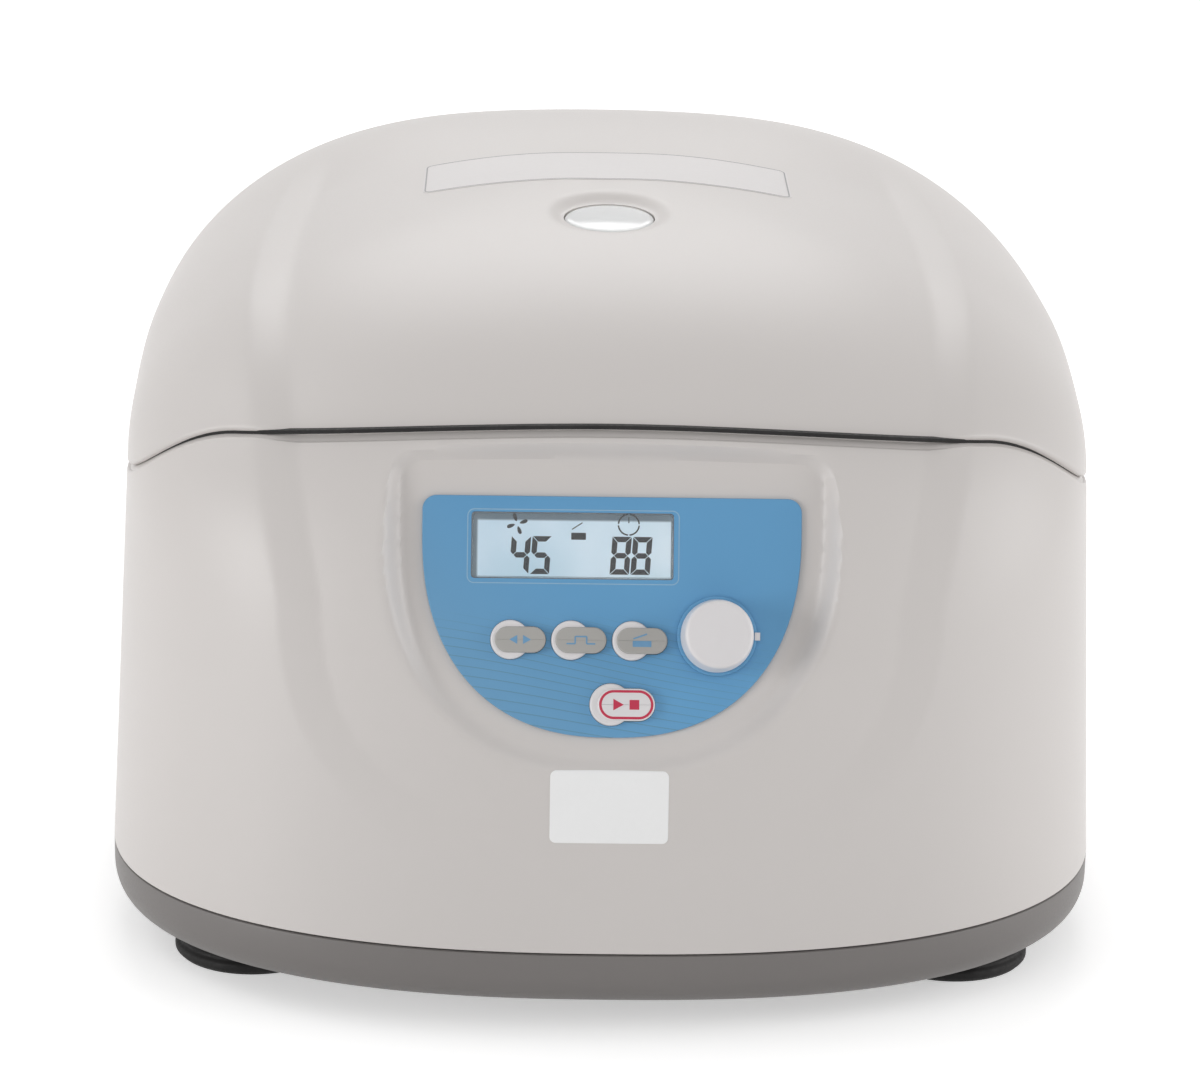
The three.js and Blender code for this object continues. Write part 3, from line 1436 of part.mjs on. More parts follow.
function mainsTransformer() {
  const half = supplyCore / 2;
  const long = supplyLength / 2;
  const top = driveZ + supplyHeight;
  const core = block(supplyX - half, supplyX + half, supplyY - long, supplyY + long, driveZ, top);
  const middle = driveZ + supplyHeight / 2;
  const wide = half + bobbinMargin;
  const y1 = long - bobbinMargin * 2;
  const coil = block(
    supplyX - wide,
    supplyX + wide,
    supplyY - y1,
    supplyY + y1,
    middle - bobbinHeight / 2,
    middle + bobbinHeight / 2,
  );
  return join(core, coil);
}

// Assembly
const part = new THREE.Group();
const base = new THREE.Group();
const lid = new THREE.Group();
const spindle = new THREE.Group();
spindle.position.set(0, chamberY, 0);
part.add(base, lid, spindle);

const add = (group, name, shape, material) => group.add(meshOf(name, shape, material));

add(base, "base_tray", baseTray(), trayGrey);
add(base, "body_shell", bodyShell(), shellWhite);
add(base, "inner_deck", innerDeck(), shellWhite);
for (const [corner, sideX, sideY] of corners) {
  const pad = meshOf("foot_" + corner, foot(), rubberBlack);
  pad.position.set(sideX * footX, sideY * footY, 0);
  const mount = meshOf("motor_damper_" + corner, damper(), rubberBlack);
  mount.position.set((sideX * dampersSpan) / 2, chamberY + (sideY * dampersSpan) / 2, damperZ);
  base.add(pad, mount);
}
add(base, "chamber_bowl", wellFrame(chamberBowl()), steel);
add(base, "bowl_grommet", wellFrame(grommet()), rubberBlack);
add(base, "motor", wellFrame(motor()), zincSteel);
add(base, "motor_plate", motorPlate(), zincSteel);
add(base, "drive_board", driveBoard(), boardGreen);
add(base, "mains_transformer", mainsTransformer(), copper);
add(base, "control_panel", controlPanel(), panelBlue);
add(base, "display_lens", displayLens(), clearGlass);
add(base, "display_module", displayModule(), displayGlass);
add(base, "control_board", controlBoard(), boardGreen);
add(base, "knob_encoder", encoder(), zincSteel);
add(base, "knob_collar", knobCollar(), buttonWhite);
add(base, "knob", knob(), buttonWhite);
add(base, "encoder_shaft", encoderShaft(), steel);
for (const button of buttons) add(base, button[0], buttonCap(button), padGrey);
add(base, "lock_frame", lockFrame(), zincSteel);
add(base, "lock_bolt", lockBolt(), steel);
add(base, "lock_solenoid", lockSolenoid(), copper);
add(base, "lid_sensor", lidSensor(), plasticBlack);
add(base, "inlet_socket", inletSocket(), plasticBlack);
add(base, "switch_housing", switchHousing(), plasticBlack);
add(base, "power_rocker", powerRocker(), plasticBlack);

const shell = lidShell();
add(lid, "lid_shell", shell, shellWhite);
add(lid, "lid_liner", lidLiner(), shellWhite);
add(lid, "lid_gasket", lidGasket(), rubberBlack);
add(lid, "port_window", portWindow(), clearGlass);
add(lid, "port_tube", portTube(shell), shellWhite);
add(lid, "lid_hook", lidHook(), steel);
for (const [side, x] of hingeSides) {
  add(base, "hinge_bracket_" + side, hingeLeafOf(x, false), zincSteel);
  add(base, "hinge_pin_" + side, hingePin(x), steel);
  add(lid, "hinge_arm_" + side, hingeLeafOf(x, true), zincSteel);
}

add(spindle, "rotor_body", rotorBody(), rotorGrey);
add(spindle, "rotor_nut", rotorNut(), steel);
add(spindle, "rotor_shaft", rotorShaft(), steel);
for (const { name, matrix } of sleevePlaces()) {
  const sleeve = meshOf(name, tubeSleeve(), sleeveWhite);
  sleeve.applyMatrix4(matrix);
  spindle.add(sleeve);
}

export default part;
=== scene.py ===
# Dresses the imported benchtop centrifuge: fine moulded shells, panel, keys, display, rotor and materials.
# Lengths in the geometry code are millimetres and become metres in solid().
import json
from functools import partial
from math import copysign, cos, dist, pi, radians, sin, tan

import bmesh
import bpy
import numpy as np
from mathutils import Matrix, Vector
from mathutils.bvhtree import BVHTree


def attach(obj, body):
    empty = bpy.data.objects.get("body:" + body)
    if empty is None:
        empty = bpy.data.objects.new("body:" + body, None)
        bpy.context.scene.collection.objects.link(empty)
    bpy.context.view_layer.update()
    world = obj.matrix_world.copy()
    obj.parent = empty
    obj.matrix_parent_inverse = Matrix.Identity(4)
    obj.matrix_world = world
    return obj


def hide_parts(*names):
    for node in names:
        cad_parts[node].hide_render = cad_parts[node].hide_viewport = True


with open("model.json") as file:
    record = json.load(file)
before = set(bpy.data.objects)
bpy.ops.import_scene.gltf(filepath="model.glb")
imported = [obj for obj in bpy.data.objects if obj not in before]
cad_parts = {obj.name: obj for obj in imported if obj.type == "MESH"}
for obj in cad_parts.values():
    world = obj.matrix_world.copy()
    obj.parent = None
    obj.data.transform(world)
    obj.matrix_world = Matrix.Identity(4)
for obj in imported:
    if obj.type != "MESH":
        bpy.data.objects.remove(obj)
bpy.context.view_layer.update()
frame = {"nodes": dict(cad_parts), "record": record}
nodes = frame["nodes"]
scene = bpy.context.scene
MM = 0.001

# Housing, as in the solids
HALF_WIDTH, FRONT_REACH, REAR_REACH, WIDEST_Y = 147.5, 182.0, 178.0, -72.0
FRONT_POWER, REAR_POWER = 2.41, 4.27
SEAM_Z, ROOF_Z, ROOF_FALL, ROOF_CROWN, ROOF_LEVEL_SHARE = 26.0, 220.0, 28.5, 3.7, 0.6
# Heights, leans and powers at the side, the front and the rear
SHOULDERS = (162.0, 50.0, 139.0)
LEAN_SHARES = (0.045, 0.103, 0.038)
CROWN_POWERS = (1.98, 4.05, 3.0)
ASPECT_BLEND_POWER = 2.66
HOUSING_WALL, LINING_INSET, RUN_GAP, FIT_GAP, OVERRUN = 3.2, 5.2, 0.6, 0.3, 4.0
BAND_DEPTH, BAND_STRIP, BAND_HALF, BAND_TURN_Z, BAND_FLARE_TOP_Z = 3.0, 11.0, 93.0, 120.0, 189.0
BAND_LOW_Z, BAND_FULL_Z, BAND_LOW_SHARE, BAND_FLARE_SHARE = 46.5, 100.0, 0.25, 0.195
BAND_POWER, BAND_NARROWING, BAND_NARROW_Y = 2.4, 24.6, -70.0
BAND_FADE_Y = (20.0, 85.0)
PARTING_FRONT_Z, PARTING_REAR_Z, PARTING_SETTLE_Y, PARTING_GAP = 167.7, 138.0, (-100.0, -20.0), 1.6
PARTING_ARCH, PARTING_CORNER, PARTING_CORNER_X = 14.5, 21.3, 107.0
LID_EDGE_ROUND, BODY_EDGE_ROUND = 1.5, 1.0
# Insets from the skin and lifts over the parting surface of the black strip that paints the shade inside the
# parting gap
GAP_SHADE_INSETS, GAP_SHADE_LIFTS = (2.4, 4.6), (-0.2, 0.9)
CHAMBER_Y, DECK_DROP, DECK_WALL, WELL_RADIUS, WELL_FLOOR_Z, BOWL_HOLE = 8.0, 2.0, 3.0, 124.0, 130.0, 113.8
TRAY_FLOOR_Z, TRAY_ROUND, TRAY_WALL, TRAY_GAP = 8.8, 10.0, 3.0, 0.6
TRAY_LIP = ((0.6, 0), (0.15, 0.25), (0, 0.8))
FOOT_X, FOOT_Y, FOOT_RADIUS, FOOT_SPIGOT = 103.0, 115.0, 23.5, 6.0
# Foot from the floor up: distance from its radius, z, corner radius
FOOT_RIM = ((-1.2, 0, 0), (0, 1.2, 0.5), (0, 3.0, 0.7), (-1.3, 4.1, 0.5), (-1.3, 5.0, 0.4))
FOOT_RIM += ((-0.3, 6.0, 0.5), (-0.3, 7.2, 0.5), (-2.4, 8.5, 0.8))

# How finely the skins are divided: steps and rows, and the rings of the caps that close them
SKIN_STEP, SKIN_FRONT_STEP, SKIN_BEND, OUTLINE_LENGTH = 3.0, 1.3, 8.0, 1058.0
BODY_ROWS, LID_ROWS = 103, 111
CAP_SHARES = (0.985, 0.96, 0.9, 0.8, 0.65, 0.45, 0.2)

# Control panel plane: u to the right, v up the slope, w out of it
PANEL_ORIGIN = (0.0, -155.9, 123.2)
PANEL_TILT = radians(20)
# Half width, top, corner radius, v of the turn, low end and power of each outline
PANEL_SHAPE = (53.0, 27.2, 4.0, 18.0, -40.0, 2.35)
FLOOR_SHAPE = (59.4, 37.5, 6.5, 21.5, -46.4, 2.45)
FIELD_SHAPE = (64.5, 43.0, 8.0, 22.0, -56.0, 2.7)
FIELD_DEPTH, FIELD_RISE, FIELD_REACH, FIELD_BEHIND_Y = 1.1, 6.5, 25.0, -60.0
FIELD_SOFT, FLOOR_SOFT, DISH_SOFT = 0.7, 0.45, 0.35
PANEL_THICKNESS = 0.8
# Display as u, v, width, height
DISPLAY = (-11.0, 13.4, 56.5, 18.6)
DISPLAY_LEDGE, DISPLAY_CORNER = 1.5, 1.0
DISPLAY_RULE = (59.3, 20.9, 2.0, -10.8, 13.1)
SCREEN_Z, PRINT_Z = (-1.05, -0.86), (-0.85, -0.82)
# Edges of the display's unshaded glass: beyond them a painted shadow of the frame darkens it, broadly on the
# left and top
UNSHADED_U, UNSHADED_V = (-37.9, 16.6), (4.6, 20.8)
# u, v and radius of a key, length and height of its pad, and how far right the pad sits
KEYS = {
    "button_select": (-28.1, -13.0, 5.5, 14.2, 7.3, 2.8),
    "button_pulse": (-11.2, -13.0, 5.5, 14.2, 7.3, 2.8),
    "button_door": (5.8, -13.0, 5.5, 14.2, 7.3, 2.8),
    "button_start_stop": (0.1, -30.8, 5.9, 16.0, 9.0, 4.3),
}
CAP_RISE, CAP_ROUND, PAD_RISE, PAD_ROUND, PAD_DEPTH = 1.5, 0.7, 2.1, 0.45, 1.8
STEM_RADIUS, STEM_LOW_Z, SIGN_THICK, FILM_GAP = 2.0, -8.0, 0.42, 0.12
KNOB_AT, ENCODER_HOLE = (29.5, -11.4), 4.8
# Profiles as radius, z and corner radius
KNOB_POINTS = ((0, 1.9, 0), (10.2, 1.9, 0), (10.2, 2.6, 0.4), (9.4, 14.9, 1.3), (4.7, 15.6, 3.0), (0, 16.3, 0))
KNOB_BORE, KNOB_BORE_Z = 3.3, (-3.0, 8.5)
COLLAR_POINTS = ((ENCODER_HOLE, 0.3, 0), (11.1, 0.3, 0), (11.1, 1.3, 0.35), (ENCODER_HOLE, 1.3, 0))
KNOB_MARK = (10.5, 12.0, -1.1, 1.1, 0.7, 1.6)

# Chamber and rotor
CHAMBER = Matrix.Translation((0, CHAMBER_Y, 0))
BOWL_RADIUS, BOWL_WALL, BOWL_FLANGE, BOWL_FLOOR_Z, BOWL_CORNER, BOWL_BORE = 112.0, 1.2, 120.0, 76.0, 12.0, 17.0
# Radii of bore, neck and lips, and the low and high end of the neck with the rise of the lips
GROMMET, GROMMET_Z = (13.6, 16.7, 22.0), (75.7, 77.5, 2.5)
GASKET = (103.0, 118.0, 131.5, 133.2)
SEAT_RADIUS, SEAT_Z, SEAT_TILT = 38.9, 158.0, radians(40)
SLEEVE_COUNT, SLEEVE_BORE, SLEEVE_OUTER, SLEEVE_RIM, SLEEVE_LENGTH, SLEEVE_RISE = 8, 8.5, 9.5, 11.0, 92.0, 2.0
ROTOR_WALL, DISH_WALL, ROTOR_SKIRT, ROTOR_FOOT = 3.0, 4.0, 14.0, 5.0
HUB_RADIUS, HUB_LOW_Z, DISH_START, SHAFT_HOLE = 17.0, 92.0, 24.0, 6.3
HUB_TOP_Z = SEAT_Z - (SEAT_RADIUS - DISH_START) * tan(SEAT_TILT)
NUT_RADIUS, NUT_HEIGHT, NUT_COVER, NUT_FLUTES, NUT_FLUTE = 11.0, 15.0, 4.0, 8, 1.6

# Lid liner
PLUG_RADIUS, PLUG_LOW_Z, LINER_WALL, LINER_DROP = 120.5, 133.5, 2.5, 1.2
DOME_FOOT, DOME_RADIUS, DOME_SHOULDER_Z, DOME_TOP_Z = 99.0, 96.0, 172.0, 197.0

# View port and plate on the lid, and the plate on the front
PORT_GLASS, PORT_LEDGE, PORT_CROWN = 3.0, 2.4, 0.5
PORT_Y, PORT_RADIUS, PORT_TILT, PORT_LIP, PORT_DISH, PORT_DISH_DEPTH = -42.0, 13.75, radians(6), 0.8, 21.5, 2.2
LABEL, STICKER = (114.0, 32.0, 2.5, 0.0, 5.0), (33.0, 20.0, 1.6, 0.0, 67.4)
LABEL_RULE = (1.0, 1.9)
PLATE_LIFTS, RULE_LIFTS = (0.02, 0.16), (0.14, 0.2)

# Rear hinges and services
HINGE_XS, HINGE_Y, HINGE_SEAT_Y, HINGE_SEAT_WALL = (-62.0, 62.0), 177.4, 167.5, 3.5
HINGE_SEAT_HALF, HINGE_SEAT_Z = 18.0, (110.8, 166.8)
# Recess as x, z, width, height; inlet and switch as x, width, height; slots as x, count, pitch, width, height
SERVICE = (-42.0, 58.0, 84.0, 42.0)
SERVICE_FLOOR_Y = 170.0
INLET = (-58.0, 28.0, 22.0)
SWITCH = (-17.0, 15.0, 26.0)
SLOTS = (56.0, 6, 9.0, 3.0, 34.0)
# Half width, y, reach, low and high z
LOCK_SLOT = (2.4, -128.0, 8.4, 76.0, 171.7)

# Camera of the photograph, from its outline: place in metres, pitch, yaw and roll, and pixels of its frame
CAMERA_AT, CAMERA_TURNS = (-0.0257, -1.196, 0.4442), (16.40, 1.167, 1.03)
PHOTO_WIDTH, FOCAL_PIXELS, SHIFT_PIXELS, SENSOR_WIDTH = 1200, 3905, 3.784, 36

# Light: place, size and watts of each lamp, and the strength of the rest
LAMPS = {
    "left": ((-2.0, -1.25, 0.5), 0.9, 15.5),
    "right": ((2.2, -0.5, 0.7), 1.5, 19),
    "high_left": ((-1.6, 0.3, 1.9), 1.1, 5),
    "high_back": ((0, 1.6, 1.8), 1.4, 14.5),
    "high_front": ((0, -1.8, 2.2), 1.4, 3),
}
LAMP_AIM, FLOOR_GLOW, WORLD_FILL, WORLD_SEEN = (0, 0, 0.1), 0.45, 0.42, 1.0


def lerp(a, b, share):
    return a + (b - a) * share


def smooth(value, start, end):
    share = np.clip((value - start) / (end - start), 0, 1)
    return share * share * (3 - 2 * share)


def quarter(steps):
    return np.linspace(0, pi / 2, steps + 1)


# Closed meshes and booleans
def linked(name, data):
    made = bpy.data.objects.new(name, data)
    scene.collection.objects.link(made)
    return made


def drop(tool):
    mesh = tool.data
    bpy.data.objects.remove(tool)
    bpy.data.meshes.remove(mesh)


def solid(name, places, faces, matrix=None):
    places = np.asarray(places, float)
    if matrix is not None:
        m = np.array(matrix, float)
        places = places @ m[:3, :3].T + m[:3, 3]
    mesh = bpy.data.meshes.new(name)
    mesh.from_pydata((places * MM).tolist(), [], [list(map(int, face)) for face in faces])
    mesh.update()
    return linked(name, mesh)


def boolean(operation, target, *tools):
    for tool in tools:
        modifier = target.modifiers.new("combine", "BOOLEAN")
        modifier.solver, modifier.operation, modifier.object = "MANIFOLD", operation, tool
    old, depsgraph = target.data, bpy.context.evaluated_depsgraph_get()
    mesh = bpy.data.meshes.new_from_object(target.evaluated_get(depsgraph))
    mesh.validate()
    target.modifiers.clear()
    target.data = mesh
    bpy.data.meshes.remove(old)
    for tool in tools:
        drop(tool)
    return target


cut, join, common = (partial(boolean, operation) for operation in ("DIFFERENCE", "UNION", "INTERSECT"))


def merged(name, meshes, weld=0.0):
    """One object from several meshes; points within the weld distance in metres become one."""
    work = bmesh.new()
    for mesh in meshes:
        work.from_mesh(mesh)
    if weld:
        bmesh.ops.remove_doubles(work, verts=work.verts, dist=weld)
    made = bpy.data.meshes.new(name)
    work.to_mesh(made)
    work.free()
    return linked(name, made)


def faces_between(pairs, count):
    """Faces between pairs of rings of equal counts, which are given by their numbers."""
    made = []
    for low, high in pairs:
        for i in range(count):
            j = (i + 1) % count
            made.append((low * count + i, low * count + j, high * count + j, high * count + i))
    return made


def rings(name, levels, low=None, high=None, matrix=None):
    """A closed solid through rings of equal counts, capped by fans at low and high or by flat faces."""
    count, last = len(levels[0]), len(levels) - 1
    places = np.vstack(levels)
    faces = faces_between([(at, at + 1) for at in range(last)], count)
    for point, at, order in ((low, 0, -1), (high, last, 1)):
        ring = [*range(at * count, (at + 1) * count)][::order]
        if point is None:
            faces.append(ring)
            continue
        faces += [(a, b, len(places)) for a, b in zip(ring, ring[1:] + ring[:1])]
        places = np.vstack([places, [point]])
    return solid(name, places, faces, matrix)


def ring_solid(name, levels, matrix=None):
    """A closed solid through rings of equal counts, the last of which meets the first again."""
    pairs = [(at, (at + 1) % len(levels)) for at in range(len(levels))]
    return solid(name, np.vstack(levels), faces_between(pairs, len(levels[0])), matrix)


def circle(radius, sides, x=0.0, y=0.0):
    turns = np.linspace(0, 2 * pi, sides, endpoint=False)
    return np.stack([x + radius * np.cos(turns), y + radius * np.sin(turns)], 1)


def raised(outline, z):
    outline = np.asarray(outline, float)
    return np.column_stack([outline, np.full(len(outline), z)])


def prism(outline, z0, z1, matrix=None, name="prism"):
    return rings(name, [raised(outline, z0), raised(outline, z1)], matrix=matrix)


def rod(radius, z0, z1, x=0.0, y=0.0, sides=96, matrix=None):
    return prism(circle(radius, sides, x, y), z0, z1, matrix)


def block(x0, x1, y0, y1, z0, z1, matrix=None, name="block"):
    return prism([(x0, y0), (x1, y0), (x1, y1), (x0, y1)], z0, z1, matrix, name)


def turned(name, points, steps, sides, matrix=CHAMBER):
    """A solid turned about Z from radius, z and corner radius: starts and ends on the axis, or else closes."""
    profile = rounded_profile(points, steps)
    levels = [raised(circle(radius, sides), z) for radius, z in profile if radius]
    if profile[0][0]:
        return ring_solid(name, levels, matrix)
    return rings(name, levels, (0, 0, profile[0][1]), (0, 0, profile[-1][1]), matrix)


def rounded_profile(points, steps):
    """Rounds the corners of a profile given as [radius, z, corner radius] into [radius, z] pairs."""
    made = []
    for at, (r, z, corner) in enumerate(points):
        if not corner or at in (0, len(points) - 1):
            made.append((r, z))
            continue
        here = np.array([r, z])
        before, after = np.array(points[at - 1][:2]) - here, np.array(points[at + 1][:2]) - here
        start = here + before / np.linalg.norm(before) * corner
        end = here + after / np.linalg.norm(after) * corner
        for share in np.linspace(0, 1, steps + 1):
            made.append(tuple((1 - share) ** 2 * start + 2 * share * (1 - share) * here + share**2 * end))
    return made


def capsule(width, height, corner, u=0.0, v=0.0, steps=12):
    """A rectangle with round corners about u, v."""
    points = []
    for side_u, side_v, start in ((1, -1, -90), (1, 1, 0), (-1, 1, 90), (-1, -1, 180)):
        middle = (u + side_u * (width / 2 - corner), v + side_v * (height / 2 - corner))
        for turn in np.radians(np.linspace(start, start + 90, steps + 1)):
            points.append((middle[0] + corner * cos(turn), middle[1] + corner * sin(turn)))
    return points


def dense(outline, step=2.0):
    """Adds points along the long sides of an outline, so that it can lie on a curved surface."""
    made = []
    for start, end in zip(outline, outline[1:] + outline[:1]):
        count = max(1, round(dist(start, end) / step))
        made += [tuple(lerp(np.array(start), np.array(end), i / count)) for i in range(count)]
    return made


def inward_of(outline):
    """Unit normals that point into a closed outline."""
    along = np.roll(outline, -1, 0) - np.roll(outline, 1, 0)
    return np.stack([-along[:, 1], along[:, 0]], 1) / np.linalg.norm(along, axis=1, keepdims=True)


# Plain housing surface
def outline_at(angle):
    across, along = np.cos(angle), np.sin(angle)
    reach = np.where(along < 0, FRONT_REACH + WIDEST_Y, REAR_REACH - WIDEST_Y)
    power = np.where(along < 0, FRONT_POWER, REAR_POWER)
    x = HALF_WIDTH * np.sign(across) * np.abs(across) ** (2 / power)
    return x, WIDEST_Y + reach * np.sign(along) * np.abs(along) ** (2 / power)


def outline_angles(step, fine_step, bend):
    """Outline angles about a step apart, closer in bends and on the front, where panel and band lie."""
    angles = np.linspace(0, 2 * pi, 24001)
    x, y = outline_at(angles)
    dx, dy = np.diff(x), np.diff(y)
    heading = np.unwrap(np.arctan2(dy, dx))
    turn = np.abs(np.diff(np.append(heading, heading[0] + 2 * pi)))
    nearness = smooth(-y[1:], 90, 130) * (1 - smooth(np.abs(x[1:]), 90, 115))
    weight = (np.hypot(dx, dy) + bend * turn) / lerp(step, fine_step, nearness)
    length = np.append(0, np.cumsum(weight))
    count = int(round(length[-1] / 4)) * 4
    return np.interp(np.arange(count) * length[-1] / count, length, angles)


def roof_at(x, y):
    forward = np.maximum(ROOF_LEVEL_SHARE - y / FRONT_REACH, 0) / (1 + ROOF_LEVEL_SHARE)
    return ROOF_Z - ROOF_FALL * forward**2 - ROOF_CROWN * (x / HALF_WIDTH) ** 2


def column_paths(angles, fine=144):
    """For each outline angle the line up the wall and over the shoulder to the roof's middle."""
    x, y = outline_at(angles)
    radius = np.hypot(x, y)
    towards_end = np.abs(y / radius) ** ASPECT_BLEND_POWER

    def pick(values):
        side, front, rear = values
        return lerp(side, np.where(y < 0, front, rear), towards_end)

    shoulder, power, lean = pick(SHOULDERS), pick(CROWN_POWERS), pick(LEAN_SHARES) / radius

    def ring(spread, z):
        inward = spread * (1 - lean * (z - SEAM_Z))
        return np.stack([x * inward, y * inward, z], 1)

    made = [ring(1, lerp(SEAM_Z, shoulder, 4 * i / fine)) for i in range(fine // 4)]
    for turn in quarter(fine):
        spread, climb = (max(part, 0) ** (2 / power) for part in (cos(turn), sin(turn)))
        made.append(ring(spread, lerp(shoulder, roof_at(x * spread, y * spread), climb)))
    return np.stack(made, 1)


def parting_at(x, y):
    corner = np.maximum(0, np.abs(x) - PARTING_CORNER_X) / (HALF_WIDTH - PARTING_CORNER_X)
    front = PARTING_FRONT_Z - PARTING_ARCH * (x / HALF_WIDTH) ** 2 - PARTING_CORNER * corner**2
    return lerp(front, PARTING_REAR_Z, smooth(y, *PARTING_SETTLE_Y))


def lengths_along(paths):
    steps = np.linalg.norm(np.diff(paths, axis=1), axis=2)
    return np.concatenate([np.zeros((len(paths), 1)), np.cumsum(steps, 1)], 1)


def resampled(paths, lengths, wanted):
    made = np.empty((*wanted.shape, 3))
    for c in range(len(paths)):
        for axis in range(3):
            made[c, :, axis] = np.interp(wanted[c], lengths[c], paths[c, :, axis])
    return made


def normals_of(grid):
    """Outward unit normals of a grid of columns and rows that closes round."""
    across = np.roll(grid, -1, 0) - np.roll(grid, 1, 0)
    up = np.empty_like(grid)
    up[:, 1:-1] = grid[:, 2:] - grid[:, :-2]
    up[:, 0] = grid[:, 1] - grid[:, 0]
    up[:, -1] = grid[:, -1] - grid[:, -2]
    normal = np.cross(across, up)
    return normal / np.linalg.norm(normal, axis=2, keepdims=True)


def band_sink(places):
    x, y, z = places[..., 0], places[..., 1], places[..., 2]
    narrowed = np.maximum(0, y - BAND_NARROW_Y) / (REAR_REACH - BAND_NARROW_Y)
    flare = BAND_FLARE_SHARE * np.clip(z - BAND_TURN_Z, 0, BAND_FLARE_TOP_Z - BAND_TURN_Z)
    half = BAND_HALF + flare - BAND_NARROWING * narrowed**2

    def reach(width, depth):
        below = np.maximum(0, BAND_TURN_Z - z) / depth
        return ((np.abs(x) / width) ** BAND_POWER + below**BAND_POWER) ** (1 / BAND_POWER)

    depth = BAND_TURN_Z - BAND_LOW_Z
    outer = np.minimum(half * (1 - reach(half, depth)), BAND_FADE_Y[1] - y)
    inner = (half - BAND_STRIP) * (reach(half - BAND_STRIP, depth - BAND_STRIP) - 1)
    across = np.where(inner <= 0, 1, outer / np.maximum(outer + inner, 1e-6))
    low = lerp(BAND_LOW_SHARE, 1, smooth(z, BAND_LOW_Z, BAND_FULL_Z))
    sink = BAND_DEPTH * across * low * (1 - smooth(y, *BAND_FADE_Y))
    return np.where(outer > 0, sink, 0)


def soft_least(a, b, width):
    return -width * np.logaddexp(-a / width, -b / width)


def soft_positive(value, width):
    return width * np.logaddexp(0, value / width)


# Panel plane
PANEL = Matrix.Translation(PANEL_ORIGIN) @ Matrix.Rotation(pi / 2 - PANEL_TILT, 4, "X")
PANEL_AXES = np.array(PANEL.to_3x3())


def shield(half, top, corner, turn, low, power, steps=72, corner_steps=12):
    """Outline with a level top, round top corners and a lower side that turns in one even bow."""
    points = []
    for angle in -pi * np.arange(steps + 1) / steps:
        across = cos(angle)
        x = half * copysign(abs(across) ** (2 / power), across)
        points.append((x, turn - (turn - low) * abs(sin(angle)) ** (2 / power)))
    for side, start in ((-1, pi), (1, pi / 2)):
        for i in range(corner_steps + 1):
            angle = start - pi / 2 * i / corner_steps
            x = side * (half - corner) + corner * cos(angle)
            points.append((x, top - corner + corner * sin(angle)))
    return np.array(points)[::-1]


def grown(points, margin):
    """An outline moved out from the origin by a margin, or in by a negative one."""
    reach = np.linalg.norm(points, axis=1, keepdims=True)
    return points * (1 + margin / reach)


def polar_reach(outline, angle):
    """Distance of a closed outline from the origin at given angles."""
    outline = np.array(dense(outline.tolist(), 1.0))
    turn = np.arctan2(outline[:, 1], outline[:, 0])
    order = np.argsort(turn)
    return np.interp(angle, turn[order], np.linalg.norm(outline, axis=1)[order], period=2 * pi)


def sunk_field(places):
    """Moves points of the skin down to the field's floor and its sloping border, along the panel's normal."""
    local = (places - np.array(PANEL_ORIGIN)) @ PANEL_AXES
    u, v, w = local[..., 0], local[..., 1], local[..., 2]
    angle, reach = np.arctan2(v, u), np.hypot(u, v)
    floor = polar_reach(shield(*FLOOR_SHAPE), angle)
    edge = polar_reach(shield(*FIELD_SHAPE), angle)
    climb = (reach - floor) / (edge - floor) * (FIELD_RISE + FIELD_DEPTH)
    border = soft_positive(climb, FLOOR_SOFT) - FIELD_DEPTH
    near = (reach < edge + FIELD_REACH) & (places[..., 1] < FIELD_BEHIND_Y)
    move = np.where(near, soft_least(w, border, FIELD_SOFT) - w, 0)
    return places + move[..., None] * PANEL_AXES[:, 2]


def ridge_at(y):
    path = column_paths(np.array([-pi / 2]))[0][::-1]
    return float(np.interp(-y, -path[:, 1], path[:, 2]))


PORT_Z = ridge_at(PORT_Y) - BAND_DEPTH - PORT_DISH_DEPTH
PORT = Matrix.Translation((0, PORT_Y, PORT_Z)) @ Matrix.Rotation(PORT_TILT, 4, "X")
PORT_AXES = np.array(PORT.to_3x3())
DISH_SLOPE = (PORT_DISH / 3 * 2) / (2 * PORT_DISH - PORT_RADIUS)


def sunk_port(places):
    local = (places - np.array(PORT.translation)) @ PORT_AXES
    reach, w = np.hypot(local[..., 0], local[..., 1]), local[..., 2]
    dish = DISH_SLOPE * soft_positive(reach - PORT_RADIUS - PORT_LIP, DISH_SOFT)
    move = np.where(reach < 2 * PORT_DISH, soft_least(w, dish, DISH_SOFT) - w, 0)
    return places + move[..., None] * PORT_AXES[:, 2]


ANGLES = outline_angles(SKIN_STEP, SKIN_FRONT_STEP, SKIN_BEND)
PATHS = column_paths(ANGLES)
LENGTHS = lengths_along(PATHS)


def crossing(lift):
    """Distance along each column at which it meets the parting surface."""
    over = PATHS[..., 2] - parting_at(PATHS[..., 0], PATHS[..., 1]) - lift
    return np.array([np.interp(0, over[c], LENGTHS[c]) for c in range(len(PATHS))])


def edge_rows(radius, steps=6):
    """Distances from an edge and the pull inwards that round it over."""
    turn = quarter(steps)
    return radius * (1 - np.cos(turn)), radius * (1 - np.sin(turn))


def parting_cap(ring, lift):
    """Rings on the parting surface from an edge towards its middle, and the middle."""
    x, y = ring[:, 0], ring[:, 1]
    made = [np.column_stack([x * s, y * s, parting_at(x * s, y * s) + lift]) for s in CAP_SHARES]
    return made, (0, 0, float(parting_at(0.0, 0.0)) + lift)


def skin_levels(wanted, pulls, sink):
    """Rings of the skin at distances along the columns, with what is sunk into it and its edge pulled in."""
    grid = resampled(PATHS, LENGTHS, wanted)
    normal = normals_of(grid)
    grid = sink(grid - normal * band_sink(grid)[..., None]) - normal * pulls[:, None]
    return [grid[:, row] for row in range(grid.shape[1])]


